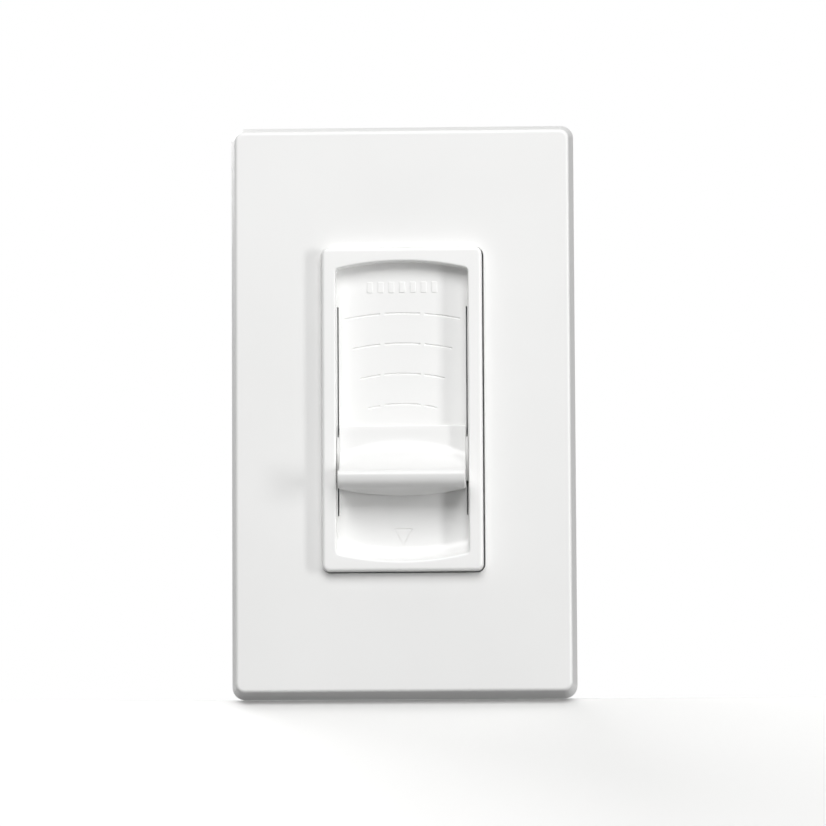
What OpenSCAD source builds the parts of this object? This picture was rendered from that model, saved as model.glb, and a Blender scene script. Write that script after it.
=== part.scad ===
// Slide dimmer for a single-gang wall box, with a push-fit faceplate.
// +Z is up, +X is to the right as seen from the room, and +Y points into the wall.
// The origin is the middle of the device, in the plane of the wall. Sizes are in millimetres.

/* [Faceplate] */
// Width of the faceplate where it meets the wall
plate_w = 70.4; // [69.6:0.1:72]
// Height of the faceplate where it meets the wall
plate_h = 117.6; // [116:0.1:119]
// Depth of the faceplate, from the wall to its front face
plate_d = 6; // [5.8:0.1:6.6]
// How far each side wall leans in by the start of the front edge's rounding
plate_draft = 0.9; // [0.4:0.1:1]
// Lean of the faceplate's top and bottom walls
plate_end_draft = 1.3; // [0.9:0.1:1.4]
// Rounding of the faceplate's front edge
plate_edge_r = 0.8; // [0.4:0.1:1]
// Thickness of the faceplate's walls
plate_t = 1.8; // [1.5:0.1:1.9]
// Gap between the faceplate's opening and the bezel, on each side
plate_gap = 0.3; // [0.2:0.05:0.4]

/* [Bezel] */
// Width of the bezel, which fills a standard 33.3 mm opening
bezel_w = 32.7; // [32.4:0.1:32.8]
// Height of the bezel, which fills a standard 66.8 mm opening
bezel_h = 66.1; // [65.8:0.1:66.4]
// Corner radius of the bezel
bezel_r = 1.4; // [0.8:0.1:2]
// How far the bezel stands out of the faceplate
bezel_proud = 2.5; // [2:0.1:3]
// Width of the recess that the paddle slides in
recess_w = 27; // [27:0.1:27.2]
// Height of the recess at its middle
recess_h = 61.1; // [60.6:0.1:61.4]
// How far the middle of the recess lies below the middle of the bezel
recess_drop = 0.25; // [0:0.05:0.4]
// Depth of the panel below the bezel's front
panel_depth = 3.6; // [3.2:0.1:4]
// Radius of the bowed top and bottom edges of the recess
bow_r = 57.75; // [50:0.25:70]
// Radius of the cove that joins the panel to the bottom rail
cove_r = 3; // [2:0.1:3.2]

/* [Index marks] */
// Number of curved marks engraved in the panel
mark_count = 4; // [2:1:4]
// Distance from one mark to the next
mark_pitch = 6.2; // [5:0.1:6.4]
// Height of the top mark at its middle
mark_top_z = 19.85; // [18:0.05:20.5]
// Half of the top mark's width
mark_half_w = 11.8; // [10:0.1:12]
// Width of each engraved line
mark_line = 0.3; // [0.2:0.05:0.5]

/* [Slider] */
// Travel of the slider from one end to the other
travel = 33; // [30:0.5:33]
// How far the slider can still go down from where it is drawn
travel_down = 6.6; // [0:0.1:6.6]
// Width of the paddle
paddle_w = 25.8; // [25.2:0.1:25.8]
// Height above the panel of the paddle's crest
crest_h = 10.4; // [8:0.1:11]
// Rounding of the paddle's crest
crest_r = 1.1; // [0.9:0.05:1.4]
// Rounding of the nose, from the crest down to the underside
nose_r = 2.6; // [1.4:0.1:3]
// Radius of the ramp that leads up to the crest
ramp_r = 7.3; // [5.6:0.1:7.6]

/* [Rear] */
// Depth of the rear housing behind the wall
housing_d = 30; // [28:0.5:34]
// Width of the rear housing
housing_w = 43; // [43:0.5:46]
// Height of the rear housing
housing_h = 64; // [63.5:0.1:64.4]
// Thickness of the housing's walls
housing_t = 2; // [1.6:0.1:2]
// Thickness of the mounting strap
strap_t = 1.5; // [1.2:0.1:1.6]

/* [Hidden] */
$fn = 48;

// Depths of the main faces, along Y
bezel_front = -plate_d - bezel_proud;
panel_y = bezel_front + panel_depth;
panel_t = 1.4;
panel_back = panel_y + panel_t;
// The adapter's rim stands a little proud of the strap's back, so that it meets the wall first.
strap_back = -0.1;
strap_front = strap_back - strap_t;
adapter_front = -plate_d + plate_t + 0.3;
adapter_back = adapter_front + 1.2;
carriage_front = panel_back + 0.25;
carriage_back = strap_front - 0.4;

// The recess in the bezel, and the slots beside its panel
recess_top = recess_h / 2 - recess_drop;
recess_bottom = -recess_h / 2 - recess_drop;
slot_inner_x = 12.8;
slot_z = -0.15;
slot_len = 42.8;

// The slider: its two legs run in the slots with a little room at each end of the travel
leg_room = 0.4;
leg_len = slot_len - travel - 2 * leg_room;
leg_z = slot_z - slot_len / 2 + leg_room + travel_down + leg_len / 2;
leg_in = slot_inner_x + 0.12;
leg_out = recess_w / 2 - 0.13;
travel_mid = leg_z - travel_down + travel / 2;
post_half_x = 3;
post_half_z = 3.2;

// The paddle's outline, from its top edge down to the foot of its underside.
// The ramp's upper end bites a little into the rounding of the crest.
paddle_base_y = panel_y - 0.3;
paddle_top_z = -3.2;
paddle_foot_z = -17.6;
lip_h = 1;
ramp_top_z = -5.65;
ramp_slope = 1.5;
ramp_bow_r = 150;
ramp_bite = 0.3;
ramp_foot_h = lip_h + (paddle_top_z - ramp_top_z) * tan(ramp_slope);
crest_z = ramp_top_z - ramp_r * (1 + sin(ramp_slope)) - crest_r + ramp_bite;

// Standard positions of the fixings
box_screw_z = 41.65;
plate_screw_z = 48.4;
screw_r = 1.75;
neck_r = 1.4;
rivet_x = 19;
rivet_z = 28.5;
stake_x = 13.2;
stake_z = 28.2;

// Places of the electrical parts
board_y = 12;
board_t = 1.6;
board_back = board_y + board_t;
triac_x = -8.9;
triac_hole_z = 25.2;
terminal_zs = [-14, 14];
terminal_y = 8;
ground_x = -14;
ground_y = 4.6;
ground_tab_z = -34.6;
leaf_z = -18.6;
choke_x = 9.5;
choke_y = 19.5;
choke_z = -8;

// A box from its lowest to its highest corner
module block(low, high) {
    translate(low)
        cube(high - low);
}

// A box on the right and its mirror image on the left
module block_pair(low, high) {
    block(low, high);
    mirror([1, 0, 0])
        block(low, high);
}

module rounded_rect(w, h, r) {
    square([w - 2 * r, h], center = true);
    square([w, h - 2 * r], center = true);
    for (sx = [-1, 1], sy = [-1, 1])
        translate([sx * (w / 2 - r), sy * (h / 2 - r)])
            circle(r);
}

// Whatever outline is given, standing up, from y0 back to y1
module upright(y0, y1) {
    translate([0, y1, 0])
        rotate([90, 0, 0])
            linear_extrude(y1 - y0)
                children();
}

module rounded_plate(w, h, r, y0, y1) {
    upright(y0, y1)
        rounded_rect(w, h, r);
}

// A round bar along Y
module rod_y(x, z, r, y0, y1) {
    translate([x, y1, z])
        rotate([90, 0, 0])
            cylinder(r = r, h = y1 - y0);
}

module rod_x(y, z, r, x0, x1) {
    translate([x0, y, z])
        rotate([0, 90, 0])
            cylinder(r = r, h = x1 - x0);
}

module rod_z(x, y, r, z0, z1) {
    translate([x, y, z0])
        cylinder(r = r, h = z1 - z0);
}

// A cone along Y, from radius r0 at y0 to radius r1 at y1
module cone_y(x, z, r0, r1, y0, y1) {
    translate([x, y1, z])
        rotate([90, 0, 0])
            cylinder(r1 = r1, r2 = r0, h = y1 - y0);
}

// The faceplate's solid outline, shrunk by inset all round, from the wall out to y_front
module faceplate_form(inset, y_front, edge) {
    lean = plate_draft * (-y_front - edge) / (plate_d - plate_edge_r);
    $fn = 32;
    hull() {
        rounded_plate(plate_w - 2 * inset, plate_h - 2 * inset, 2.6 - inset / 2, -0.6, 0);
        for (a = [0 : 22.5 : 90]) {
            in = inset + lean + edge * (1 - cos(a));
            in_h = in + lean * (plate_end_draft / plate_draft - 1);
            y = y_front + edge * (1 - sin(a));
            rounded_plate(plate_w - 2 * in, plate_h - 2 * in_h, 1.9 - edge * (1 - cos(a)), y, y + 0.01);
        }
    }
}

module faceplate() {
    inner_y = -plate_d + plate_t;
    open_w = bezel_w + 2 * plate_gap;
    open_h = bezel_h + 2 * plate_gap;
    snap_x = plate_w / 2 - plate_t - 0.75;
    color("white") {
        difference() {
            faceplate_form(0, -plate_d, plate_edge_r);
            difference() {
                translate([0, 0.01, 0])
                    faceplate_form(plate_t, inner_y, 0.2);
                // Snap ribs on the long walls grip the adapter
                for (z = [-38, 0, 38])
                    block_pair([snap_x, -2.4, z - 6], [plate_w / 2, -0.8, z + 6]);
                // Stiffening ribs behind the front face, clear of the adapter
                for (z = [-45, 45])
                    block([-29, inner_y - 0.5, z - 0.5], [29, inner_y + 0.15, z + 0.5]);
            }
            rounded_plate(open_w, open_h, bezel_r + plate_gap, -plate_d - 1, 1);
        }
    }
}

module plate_adapter() {
    out_w = plate_w - 2 * plate_t - 2 * plate_draft - 0.6;
    out_h = plate_h - 2 * plate_t - 2 * plate_draft - 0.6;
    rim = 1.6;
    color("whitesmoke")
        difference() {
            union() {
                rounded_plate(out_w, out_h, 1.2, adapter_front, adapter_back);
                difference() {
                    rounded_plate(out_w, out_h, 1.2, adapter_front, 0);
                    rounded_plate(out_w - 2 * rim, out_h - 2 * rim, 0.8, adapter_front - 1, 1);
                }
                for (s = [-1, 1])
                    rod_y(0, s * plate_screw_z, 3, adapter_back - 0.1, strap_front);
                // Ribs that stiffen the web above and below the window
                for (s = [-1, 1])
                    block_pair([8, adapter_back - 0.1, s * 41 - 0.6], [20, strap_front, s * 41 + 0.6]);
            }
            rounded_plate(bezel_w + 0.9, bezel_h + 0.9, bezel_r, adapter_front - 1, 1);
            for (s = [-1, 1]) {
                rounded_plate_at(0, s * 38, 9, 13.4, 2, adapter_front - 1, adapter_back + 1);
                rod_y(0, s * plate_screw_z, screw_r + 0.1, adapter_front - 1, 1);
                cone_y(0, s * plate_screw_z, 3, screw_r + 0.1, adapter_front - 0.01, adapter_front + 1.2);
            }
            // Lightening windows beside the device
            for (z = [-22, 22])
                for (s = [-1, 1])
                    rounded_plate_at(s * 24.5, z, 7, 30, 2, adapter_front - 1, adapter_back + 1);
        }
}

module rounded_plate_at(x, z, w, h, r, y0, y1) {
    translate([x, 0, z])
        rounded_plate(w, h, r, y0, y1);
}

// A straight screwdriver slot across a head that faces -Y
module drive_slot_y(z, y_face) {
    block([-4, y_face - 1, z - 0.4], [4, y_face + 0.9, z + 0.4]);
}

module adapter_screws() {
    color("silver")
        for (s = [-1, 1])
            difference() {
                union() {
                    cone_y(0, s * plate_screw_z, 2.9, screw_r, adapter_front, adapter_front + 1.2);
                    rod_y(0, s * plate_screw_z, screw_r, adapter_front + 1.1, 7);
                    cone_y(0, s * plate_screw_z, screw_r, 0.8, 7, 8);
                }
                drive_slot_y(s * plate_screw_z, adapter_front);
            }
}

// The space in front of the panel: straight sides, bowed ends and a cove at the bottom
module recess_space() {
    depth = panel_depth + 1;
    intersection() {
        block([-recess_w / 2, panel_y - depth, recess_bottom - 1], [recess_w / 2, panel_y, recess_top + 1]);
        rod_y(0, recess_top - bow_r, bow_r, panel_y - depth, panel_y);
        translate([0, panel_y, recess_bottom + bow_r])
            rotate([90, 0, 0])
                rotate_extrude($fn = 180) {
                    square([bow_r - cove_r, depth]);
                    translate([0, cove_r])
                        square([bow_r, depth - cove_r]);
                    translate([bow_r - cove_r, cove_r])
                        circle(cove_r);
                }
    }
}

// One engraved arc, in three lengths, bowed up at its middle
module index_mark(i) {
    half_w = mark_half_w - 1.6 * i;
    sag = 1.2 - 0.1 * i;
    r = (half_w * half_w + sag * sag) / (2 * sag);
    z = mark_top_z - mark_pitch * i;
    break_x = 4.1;
    break_w = 0.8;
    y0 = panel_y - 0.5;
    y1 = panel_y + 0.25;
    intersection() {
        difference() {
            rod_y(0, z - r, r + mark_line / 2, y0, y1);
            rod_y(0, z - r, r - mark_line / 2, y0 - 1, y1 + 1);
        }
        union() {
            block([-break_x + break_w / 2, y0, z - 2], [break_x - break_w / 2, y1, z + 1]);
            block_pair([break_x + break_w / 2, y0, z - 3], [half_w, y1, z + 1]);
        }
    }
}

// The outline of a triangle that points down, engraved under the paddle's travel
module down_arrow() {
    w = 1.85;
    h = 3.4;
    z = -26.1;
    line = 0.4;
    in_w = w - 2 * line;
    in_top = h / 2 - line;
    upright(panel_y - 0.5, panel_y + 0.25)
        translate([0, z])
            difference() {
                polygon([[-w, h / 2], [w, h / 2], [0, -h / 2]]);
                polygon([[-in_w, in_top], [in_w, in_top], [0, -h / 2 + 2.4 * line]]);
            }
}

module bezel() {
    skirt = 1.2;
    bar_z = 25.2;
    color("white") {
        difference() {
            union() {
                rounded_plate(bezel_w, bezel_h, bezel_r, bezel_front, panel_back);
                difference() {
                    rounded_plate(bezel_w, bezel_h, bezel_r, panel_back - 0.1, strap_front);
                    block(
                        [-bezel_w / 2 + skirt, panel_back - 0.2, -bezel_h / 2 + skirt],
                        [bezel_w / 2 - skirt, 0, bezel_h / 2 - skirt]
                    );
                }
                // Stakes that are melted flush into the strap's countersunk holes
                for (sx = [-1, 1], sz = [-1, 1]) {
                    rod_y(sx * stake_x, sz * stake_z, 2.1, panel_back - 0.1, strap_front);
                    rod_y(sx * stake_x, sz * stake_z, 1.2, panel_back - 0.1, strap_back - 0.05);
                    cone_y(sx * stake_x, sz * stake_z, 1.2, 1.8, strap_back - 0.7, strap_back - 0.05);
                }
            }
            recess_space();
            for (i = [0 : mark_count - 1])
                index_mark(i);
            down_arrow();
            block_pair(
                [slot_inner_x, panel_y - 0.5, slot_z - slot_len / 2],
                [recess_w / 2, panel_back + 0.5, slot_z + slot_len / 2]
            );
        }
        // A plain row of raised bars near the top of the panel
        for (i = [-3 : 3])
            translate([i * 2.2, panel_y, bar_z])
                block([-0.55, -0.15, -1.1], [0.55, 0.1, 1.1]);
    }
}

// The space that the ramp leaves free in front of the paddle
module ramp_space() {
    centre_h = ramp_foot_h + ramp_r * cos(ramp_slope);
    centre_r = ramp_bow_r - ramp_r * sin(ramp_slope);
    top_h = crest_h + 4;
    rise = tan(ramp_slope);
    translate([0, panel_y, ramp_top_z - ramp_bow_r])
        rotate([90, 0, 0])
            rotate_extrude($fn = 120) {
                translate([centre_r, centre_h])
                    circle(ramp_r);
                translate([centre_r - ramp_r, centre_h])
                    square([ramp_r + 12, top_h - centre_h]);
                polygon([
                    [centre_r, centre_h],
                    [ramp_bow_r, ramp_foot_h],
                    [ramp_bow_r + 12, ramp_foot_h - 12 * rise],
                    [ramp_bow_r + 12, top_h],
                    [centre_r, top_h]
                ]);
            }
}

module slider_paddle() {
    half_w = paddle_w / 2;
    color("white") {
        difference() {
            hull() {
                translate([0, panel_y - crest_h + crest_r, crest_z])
                    rotate([0, 90, 0])
                        cylinder(r = crest_r, h = paddle_w, center = true, $fn = 32);
                intersection() {
                    translate([0, panel_y - crest_h + nose_r, crest_z])
                        rotate([0, 90, 0])
                            cylinder(r = nose_r, h = paddle_w, center = true, $fn = 64);
                    block([-half_w, -30, -30], [half_w, 0, crest_z]);
                }
                intersection() {
                    block([-half_w, paddle_base_y - 0.3, -30], [half_w, paddle_base_y, paddle_top_z]);
                    rod_y(0, paddle_foot_z + bow_r, bow_r, paddle_base_y - 1, paddle_base_y + 1, $fn = 180);
                }
                block([-half_w, panel_y - lip_h, paddle_top_z - 1], [half_w, paddle_base_y, paddle_top_z]);
            }
            ramp_space();
            // Moulding pocket under the grip
            block([-11, panel_y - 4.4, -15.2], [11, paddle_base_y + 1, -13.6]);
        }
        // Legs that run in the bezel's slots down to the carriage
        block_pair(
            [slot_inner_x - 0.5, panel_y - lip_h, leg_z - leg_len / 2],
            [leg_out, paddle_base_y, leg_z + leg_len / 2]
        );
        block_pair(
            [leg_in, paddle_base_y - 0.1, leg_z - leg_len / 2],
            [leg_out, carriage_back, leg_z + leg_len / 2]
        );
    }
}

module slider_carriage() {
    half_h = 5.2;
    color("gainsboro")
        difference() {
            union() {
                block([-14.7, carriage_front, leg_z - half_h], [14.7, carriage_back, leg_z + half_h]);
                translate([0, 0, leg_z])
                    block([-post_half_x, carriage_front, -post_half_z], [post_half_x, 4, post_half_z]);
            }
            block_pair(
                [leg_in - 0.05, carriage_front - 1, leg_z - leg_len / 2 - 0.05],
                [leg_out + 0.05, carriage_back + 1, leg_z + leg_len / 2 + 0.05]
            );
            block([-0.55, 1, leg_z - 2.55], [0.55, 5, leg_z + 2.55]);
            // Lightening windows between the legs and the post
            block_pair([5, carriage_front - 1, leg_z - 3.4], [11, carriage_back + 1, leg_z + 3.4]);
        }
}

module mounting_strap() {
    slot_half_x = post_half_x + 0.4;
    slot_half_z = travel / 2 + post_half_z + 0.4;
    color("lightgray")
        difference() {
            union() {
                rounded_plate(44, 105, 3, strap_front, strap_back);
                block([ground_x - 5, strap_front, ground_tab_z], [ground_x + 5, 9.2, ground_tab_z + 1.5]);
            }
            for (s = [-1, 1]) {
                // Slots for the box screws
                rod_y(-1.3, s * box_screw_z, 1.95, strap_front - 1, 1);
                rod_y(1.3, s * box_screw_z, 1.95, strap_front - 1, 1);
                block([-1.3, strap_front - 1, s * box_screw_z - 1.95], [1.3, 1, s * box_screw_z + 1.95]);
                rod_y(0, s * plate_screw_z, screw_r + 0.05, strap_front - 1, 1);
            }
            // The slider's slot
            translate([0, 0, travel_mid])
                block([-slot_half_x, strap_front - 1, -slot_half_z], [slot_half_x, 1, slot_half_z]);
            for (sx = [-1, 1], sz = [-1, 1]) {
                rod_y(sx * stake_x, sz * stake_z, 1.25, strap_front - 1, 1);
                cone_y(sx * stake_x, sz * stake_z, 1.25, 1.95, strap_back - 0.75, strap_back + 0.01);
                rod_y(sx * rivet_x, sz * rivet_z, 1.35, strap_front - 1, 1);
            }
            rod_y(triac_x, triac_hole_z, 1.65, strap_front - 1, 1);
            // The gap that the ground tab was bent out of
            block([ground_x - 5.2, strap_front - 1, ground_tab_z - 9], [ground_x + 5.2, 1, ground_tab_z]);
            rod_z(ground_x, ground_y, 2.15, ground_tab_z - 1, ground_tab_z + 3);
            // Break-off notches beside the ears
            for (sx = [-1, 1], sz = [-1, 1])
                rod_y(sx * 14, sz * 52.5, 1.4, strap_front - 1, 1);
        }
}

module box_screws() {
    color("silver")
        for (s = [-1, 1])
            difference() {
                union() {
                    rod_y(0, s * box_screw_z, 3, strap_front - 1.2, strap_front);
                    cone_y(0, s * box_screw_z, 2.2, 3, strap_front - 1.9, strap_front - 1.2);
                    rod_y(0, s * box_screw_z, neck_r, strap_front - 0.1, 1.6);
                    rod_y(0, s * box_screw_z, screw_r, 1.5, 22);
                    cone_y(0, s * box_screw_z, screw_r, 0.8, 22, 23);
                }
                drive_slot_y(s * box_screw_z, strap_front - 1.9);
            }
}

module screw_washers() {
    color("tan")
        for (s = [-1, 1])
            difference() {
                rod_y(0, s * box_screw_z, 3.6, 0.15, 1);
                rod_y(0, s * box_screw_z, neck_r + 0.15, -1, 2);
            }
}

module rear_housing() {
    in_w = housing_w / 2 - housing_t;
    in_h = housing_h / 2 - housing_t;
    pocket_floor = 17.5;
    color("dimgray")
        difference() {
            union() {
                difference() {
                    rounded_plate(housing_w, housing_h, 2.5, strap_back, housing_d);
                    rounded_plate(2 * in_w, 2 * in_h, 1, -1, housing_d - housing_t);
                }
                // Corner posts that take the rivets
                for (sx = [-1, 1], sz = [-1, 1])
                    intersection() {
                        rounded_plate(housing_w, housing_h, 2.5, strap_back, housing_d - 1);
                        translate([sx * rivet_x, 0, sz * (rivet_z + 1)])
                            block([-2.6, strap_back, -3.4], [2.6, housing_d, 3.4]);
                    }
                // Ledges that the circuit board rests on
                for (sz = [-1, 1])
                    translate([0, board_back, sz * 23])
                        block_pair([17.4, 0, -1.5], [in_w + 0.5, 3, 1.5]);
                // Walls behind the terminal pockets
                for (z = terminal_zs)
                    block([pocket_floor - 2, 0, z - 7], [in_w + 0.5, terminal_y + 7, z + 7]);
            }
            for (sx = [-1, 1], sz = [-1, 1])
                rod_y(sx * rivet_x, sz * rivet_z, 1.35, -1, 10.2);
            for (z = terminal_zs) {
                block([pocket_floor, terminal_y - 5, z - 5], [housing_w, terminal_y + 5, z + 5]);
                rod_x(terminal_y, z, 2.1, 10, 20);
                block([10, terminal_y + 2.7, z - 3.1], [20, terminal_y + 3.9, z + 3.1]);
            }
            // Vent slots through the back wall
            for (i = [-3 : 3], sz = [-1, 1])
                translate([i * 4, housing_d, sz * 12])
                    block([-0.6, -housing_t - 1, -7], [0.6, 1, 7]);
        }
}

module housing_rivets() {
    color("silver")
        for (sx = [-1, 1], sz = [-1, 1])
            difference() {
                union() {
                    rod_y(sx * rivet_x, sz * rivet_z, 2.1, strap_front - 0.8, strap_front);
                    rod_y(sx * rivet_x, sz * rivet_z, 1.3, strap_front - 0.1, 10);
                }
                rod_y(sx * rivet_x, sz * rivet_z, 0.7, strap_front - 2, 2);
            }
}

module circuit_board() {
    half_w = housing_w / 2 - housing_t - 0.3;
    half_h = housing_h / 2 - housing_t - 0.5;
    color("darkgoldenrod")
        difference() {
            block([-half_w, board_y, -half_h], [half_w, board_back, half_h]);
            for (sz = [-1, 1])
                block_pair([16.1, board_y - 1, sz * 29 - 3.3], [25, board_back + 1, sz * 29 + 3.3]);
            for (z = terminal_zs)
                block([15.2, board_y - 1, z - 7.3], [25, board_back + 1, z + 7.3]);
            for (i = [-1 : 1]) {
                rod_y(triac_x + i * 2.54, 10.15, 0.7, board_y - 1, board_back + 1);
                rod_y(2 * i, travel_mid - 22, 0.6, board_y - 1, board_back + 1);
            }
        }
}

module pot_case() {
    half_len = travel / 2 + 7.5;
    slot_half = travel / 2 + 2.9;
    color("silver")
        difference() {
            block([-4.5, 5, travel_mid - half_len], [4.5, board_y, travel_mid + half_len]);
            block([-4, 5.5, travel_mid - half_len + 0.5], [4, board_y + 1, travel_mid + half_len - 0.5]);
            block([-0.8, 4, travel_mid - slot_half], [0.8, 6, travel_mid + slot_half]);
        }
}

module pot_track() {
    half_len = travel / 2 + 6.9;
    color("saddlebrown")
        block([-3.9, board_y - 1.1, travel_mid - half_len], [3.9, board_y - 0.3, travel_mid + half_len]);
}

module pot_terminals() {
    color("silver")
        for (i = [-1 : 1])
            rod_y(2 * i, travel_mid - 22, 0.5, board_y - 0.3, board_back + 1.2);
}

module pot_lever() {
    color("silver")
        block([-0.5, 1.3, leg_z - 2.5], [0.5, 7.4, leg_z + 2.5]);
}

module wiper_carrier() {
    color("ivory")
        block([-3.4, 7.4, leg_z - 3.4], [3.4, 9.2, leg_z + 3.4]);
}

// Sprung fingers that touch the track
module wiper_fingers() {
    color("goldenrod")
        for (x = [-2, 2]) {
            block([x - 0.7, 9.2, leg_z - 3], [x + 0.7, 9.5, leg_z + 3]);
            block([x - 0.7, 9.4, leg_z + 2.4], [x + 0.7, 10.8, leg_z + 2.8]);
        }
}

module triac() {
    hole_r = 1.65;
    body_top = triac_hole_z - 3.5;
    body_bottom = body_top - 9.2;
    color("darkslategray")
        difference() {
            union() {
                block([triac_x - 5.1, 0.3, body_bottom], [triac_x + 5.1, 1.6, triac_hole_z + 2.8]);
                block([triac_x - 5.1, 0.3, body_bottom], [triac_x + 5.1, 4.7, body_top]);
                for (i = [-1 : 1])
                    translate([triac_x + i * 2.54, 0, 0]) {
                        block([-0.4, 2.2, 9.9], [0.4, 2.7, body_bottom + 0.1]);
                        block([-0.4, 2.2, 9.9], [0.4, board_back + 0.6, 10.4]);
                    }
            }
            rod_y(triac_x, triac_hole_z, hole_r, 0, 3);
        }
}

module triac_pad() {
    color("lightpink")
        difference() {
            block([triac_x - 5.6, strap_back, triac_hole_z - 13.4], [triac_x + 5.6, 0.3, triac_hole_z + 3.3]);
            rod_y(triac_x, triac_hole_z, 1.65, -1, 1);
        }
}

module triac_rivet() {
    color("silver") {
        rod_y(triac_x, triac_hole_z, 2.6, strap_front - 0.8, strap_front);
        rod_y(triac_x, triac_hole_z, 1.6, strap_front - 0.1, 1.7);
        rod_y(triac_x, triac_hole_z, 2.4, 1.6, 2.3);
    }
}

module choke_core() {
    color("dimgray")
        rod_z(choke_x, choke_y, 3.6, choke_z - 12, choke_z + 12);
}

// Turns of enamelled wire round the core
module choke_winding() {
    wire_r = 0.5;
    turns = 19;
    color("peru")
        for (i = [0 : turns - 1])
            translate([choke_x, choke_y, choke_z + (i - (turns - 1) / 2) * 2.1 * wire_r])
                rotate_extrude()
                    translate([3.65 + wire_r, 0])
                        circle(wire_r, $fn = 16);
}

module line_capacitor() {
    color("goldenrod")
        block([-12.4, board_back + 0.3, -26], [-5.8, board_back + 12, -8]);
}

module timing_capacitor() {
    color("firebrick")
        block([-13, board_back + 0.3, 1], [-8, board_back + 7.5, 8]);
}

// Place of each resistor: its x and the middle of its length
resistor_places = [[-16.6, -17], [-16.6, -4], [0, 15]];

module resistors() {
    color("burlywood")
        for (p = resistor_places)
            rod_z(p[0], board_back + 1.7, 1.2, p[1] - 3.3, p[1] + 3.3);
}

module diac() {
    color("steelblue")
        rod_z(5, board_back + 1.7, 1, 13, 17);
}

module trimmer() {
    color("royalblue")
        difference() {
            block([8.2, board_back, 10.8], [14.8, board_back + 4.2, 17.4]);
            rod_y(11.5, 14.1, 2.3, board_back + 2.5, board_back + 5);
        }
}

module trimmer_rotor() {
    color("ivory")
        difference() {
            rod_y(11.5, 14.1, 2.2, board_back + 2.5, board_back + 4.4);
            block([9.8, board_back + 3.6, 13.8], [13.2, board_back + 5, 14.4]);
        }
}

module thermal_fuse() {
    color("silver")
        rod_z(-11, board_back + 2.4, 1.9, 13, 23);
}

// A lead that leaves a part at its end, and one that goes down to the board
module bent_lead(x, h, z0, z1) {
    r = 0.35;
    rod_z(x, board_back + h, r, min(z0, z1), max(z0, z1));
    rod_y(x, z1, r, board_back, board_back + h);
}

module component_leads() {
    color("silver") {
        for (p = resistor_places)
            for (s = [-1, 1])
                bent_lead(p[0], 1.7, p[1] + s * 3.3, p[1] + s * 5);
        for (s = [-1, 1]) {
            bent_lead(5, 1.7, 15 + s * 2, 15 + s * 3.6);
            bent_lead(-11, 2.4, 18 + s * 5, 18 + s * 6.8);
        }
    }
}

module terminal_plates() {
    color("gold")
        for (z = terminal_zs)
            difference() {
                union() {
                    block([17.5, terminal_y - 4.4, z - 4.2], [18.4, terminal_y + 4.4, z + 4.2]);
                    block([13.8, terminal_y + 2.8, z - 3], [17.6, terminal_y + 3.8, z + 3]);
                }
                rod_x(terminal_y, z, 2, 17, 20);
            }
}

module terminal_clamps() {
    color("goldenrod")
        for (z = terminal_zs)
            difference() {
                block([18.6, terminal_y - 3.6, z - 3.6], [19.5, terminal_y + 3.6, z + 3.6]);
                rod_x(terminal_y, z, 2, 17, 20);
            }
}

module terminal_screws() {
    color("gold")
        for (z = terminal_zs)
            difference() {
                union() {
                    rod_x(terminal_y, z, 1.95, 11, 19.6);
                    rod_x(terminal_y, z, 3.4, 19.5, 21.4);
                }
                block([20.6, terminal_y - 4, z - 0.45], [22, terminal_y + 4, z + 0.45]);
            }
}

module ground_clamp() {
    color("goldenrod")
        translate([ground_x, ground_y, ground_tab_z])
            difference() {
                block([-3.6, -3.6, -0.9], [3.6, 3.6, 0]);
                rod_z(0, 0, 2.15, -2, 1);
            }
}

module ground_screw() {
    head_z = ground_tab_z - 0.9;
    color("seagreen")
        difference() {
            union() {
                rod_z(ground_x, ground_y, 2.1, head_z - 0.1, ground_tab_z + 2.3);
                translate([ground_x, ground_y, head_z - 2.4])
                    cylinder(r = 3.9, h = 2.4, $fn = 6);
            }
            block([ground_x - 5, ground_y - 0.45, head_z - 4], [ground_x + 5, ground_y + 0.45, head_z - 1.5]);
        }
}

// The moulded block that holds the off switch's contacts
module switch_block() {
    color("darkslategray")
        difference() {
            block([9, 1, -27], [13.6, board_y, -16.2]);
            block([8, 1.4, leaf_z - 0.2], [13, 4.2, leaf_z + 0.5]);
            block([8, 1.4, leaf_z + 1.6], [13, 4.2, leaf_z + 2.2]);
        }
}

// Sprung leaf that the slider's post pushes down at the bottom of its travel
module switch_leaf() {
    color("goldenrod")
        block([-3, 1.6, leaf_z], [12.8, 4, leaf_z + 0.3]);
}

module switch_contact() {
    color("goldenrod")
        block([4.6, 1.6, leaf_z + 1.7], [12.8, 4, leaf_z + 2.1]);
}

// Silver points, one on the leaf and one on the fixed contact
module contact_points() {
    color("silver") {
        rod_z(6.2, 2.8, 0.9, leaf_z + 0.3, leaf_z + 0.95);
        rod_z(6.2, 2.8, 0.9, leaf_z + 1.05, leaf_z + 1.7);
    }
}

faceplate();
plate_adapter();
adapter_screws();
bezel();
slider_paddle();
slider_carriage();
mounting_strap();
box_screws();
screw_washers();
rear_housing();
housing_rivets();
circuit_board();
pot_case();
pot_track();
pot_terminals();
pot_lever();
wiper_carrier();
wiper_fingers();
triac();
triac_pad();
triac_rivet();
choke_core();
choke_winding();
line_capacitor();
timing_capacitor();
resistors();
diac();
trimmer();
trimmer_rotor();
thermal_fuse();
component_leads();
terminal_plates();
terminal_clamps();
terminal_screws();
ground_clamp();
ground_screw();
switch_block();
switch_leaf();
switch_contact();
contact_points();
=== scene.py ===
"""Looks of a single-gang slide dimmer, built round its fixed CAD frame."""

import logging
import math
from dataclasses import dataclass
from enum import Enum
from typing import Any, Callable, Iterable, Sequence

import bmesh
import bpy
from mathutils import Matrix, Vector


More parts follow.
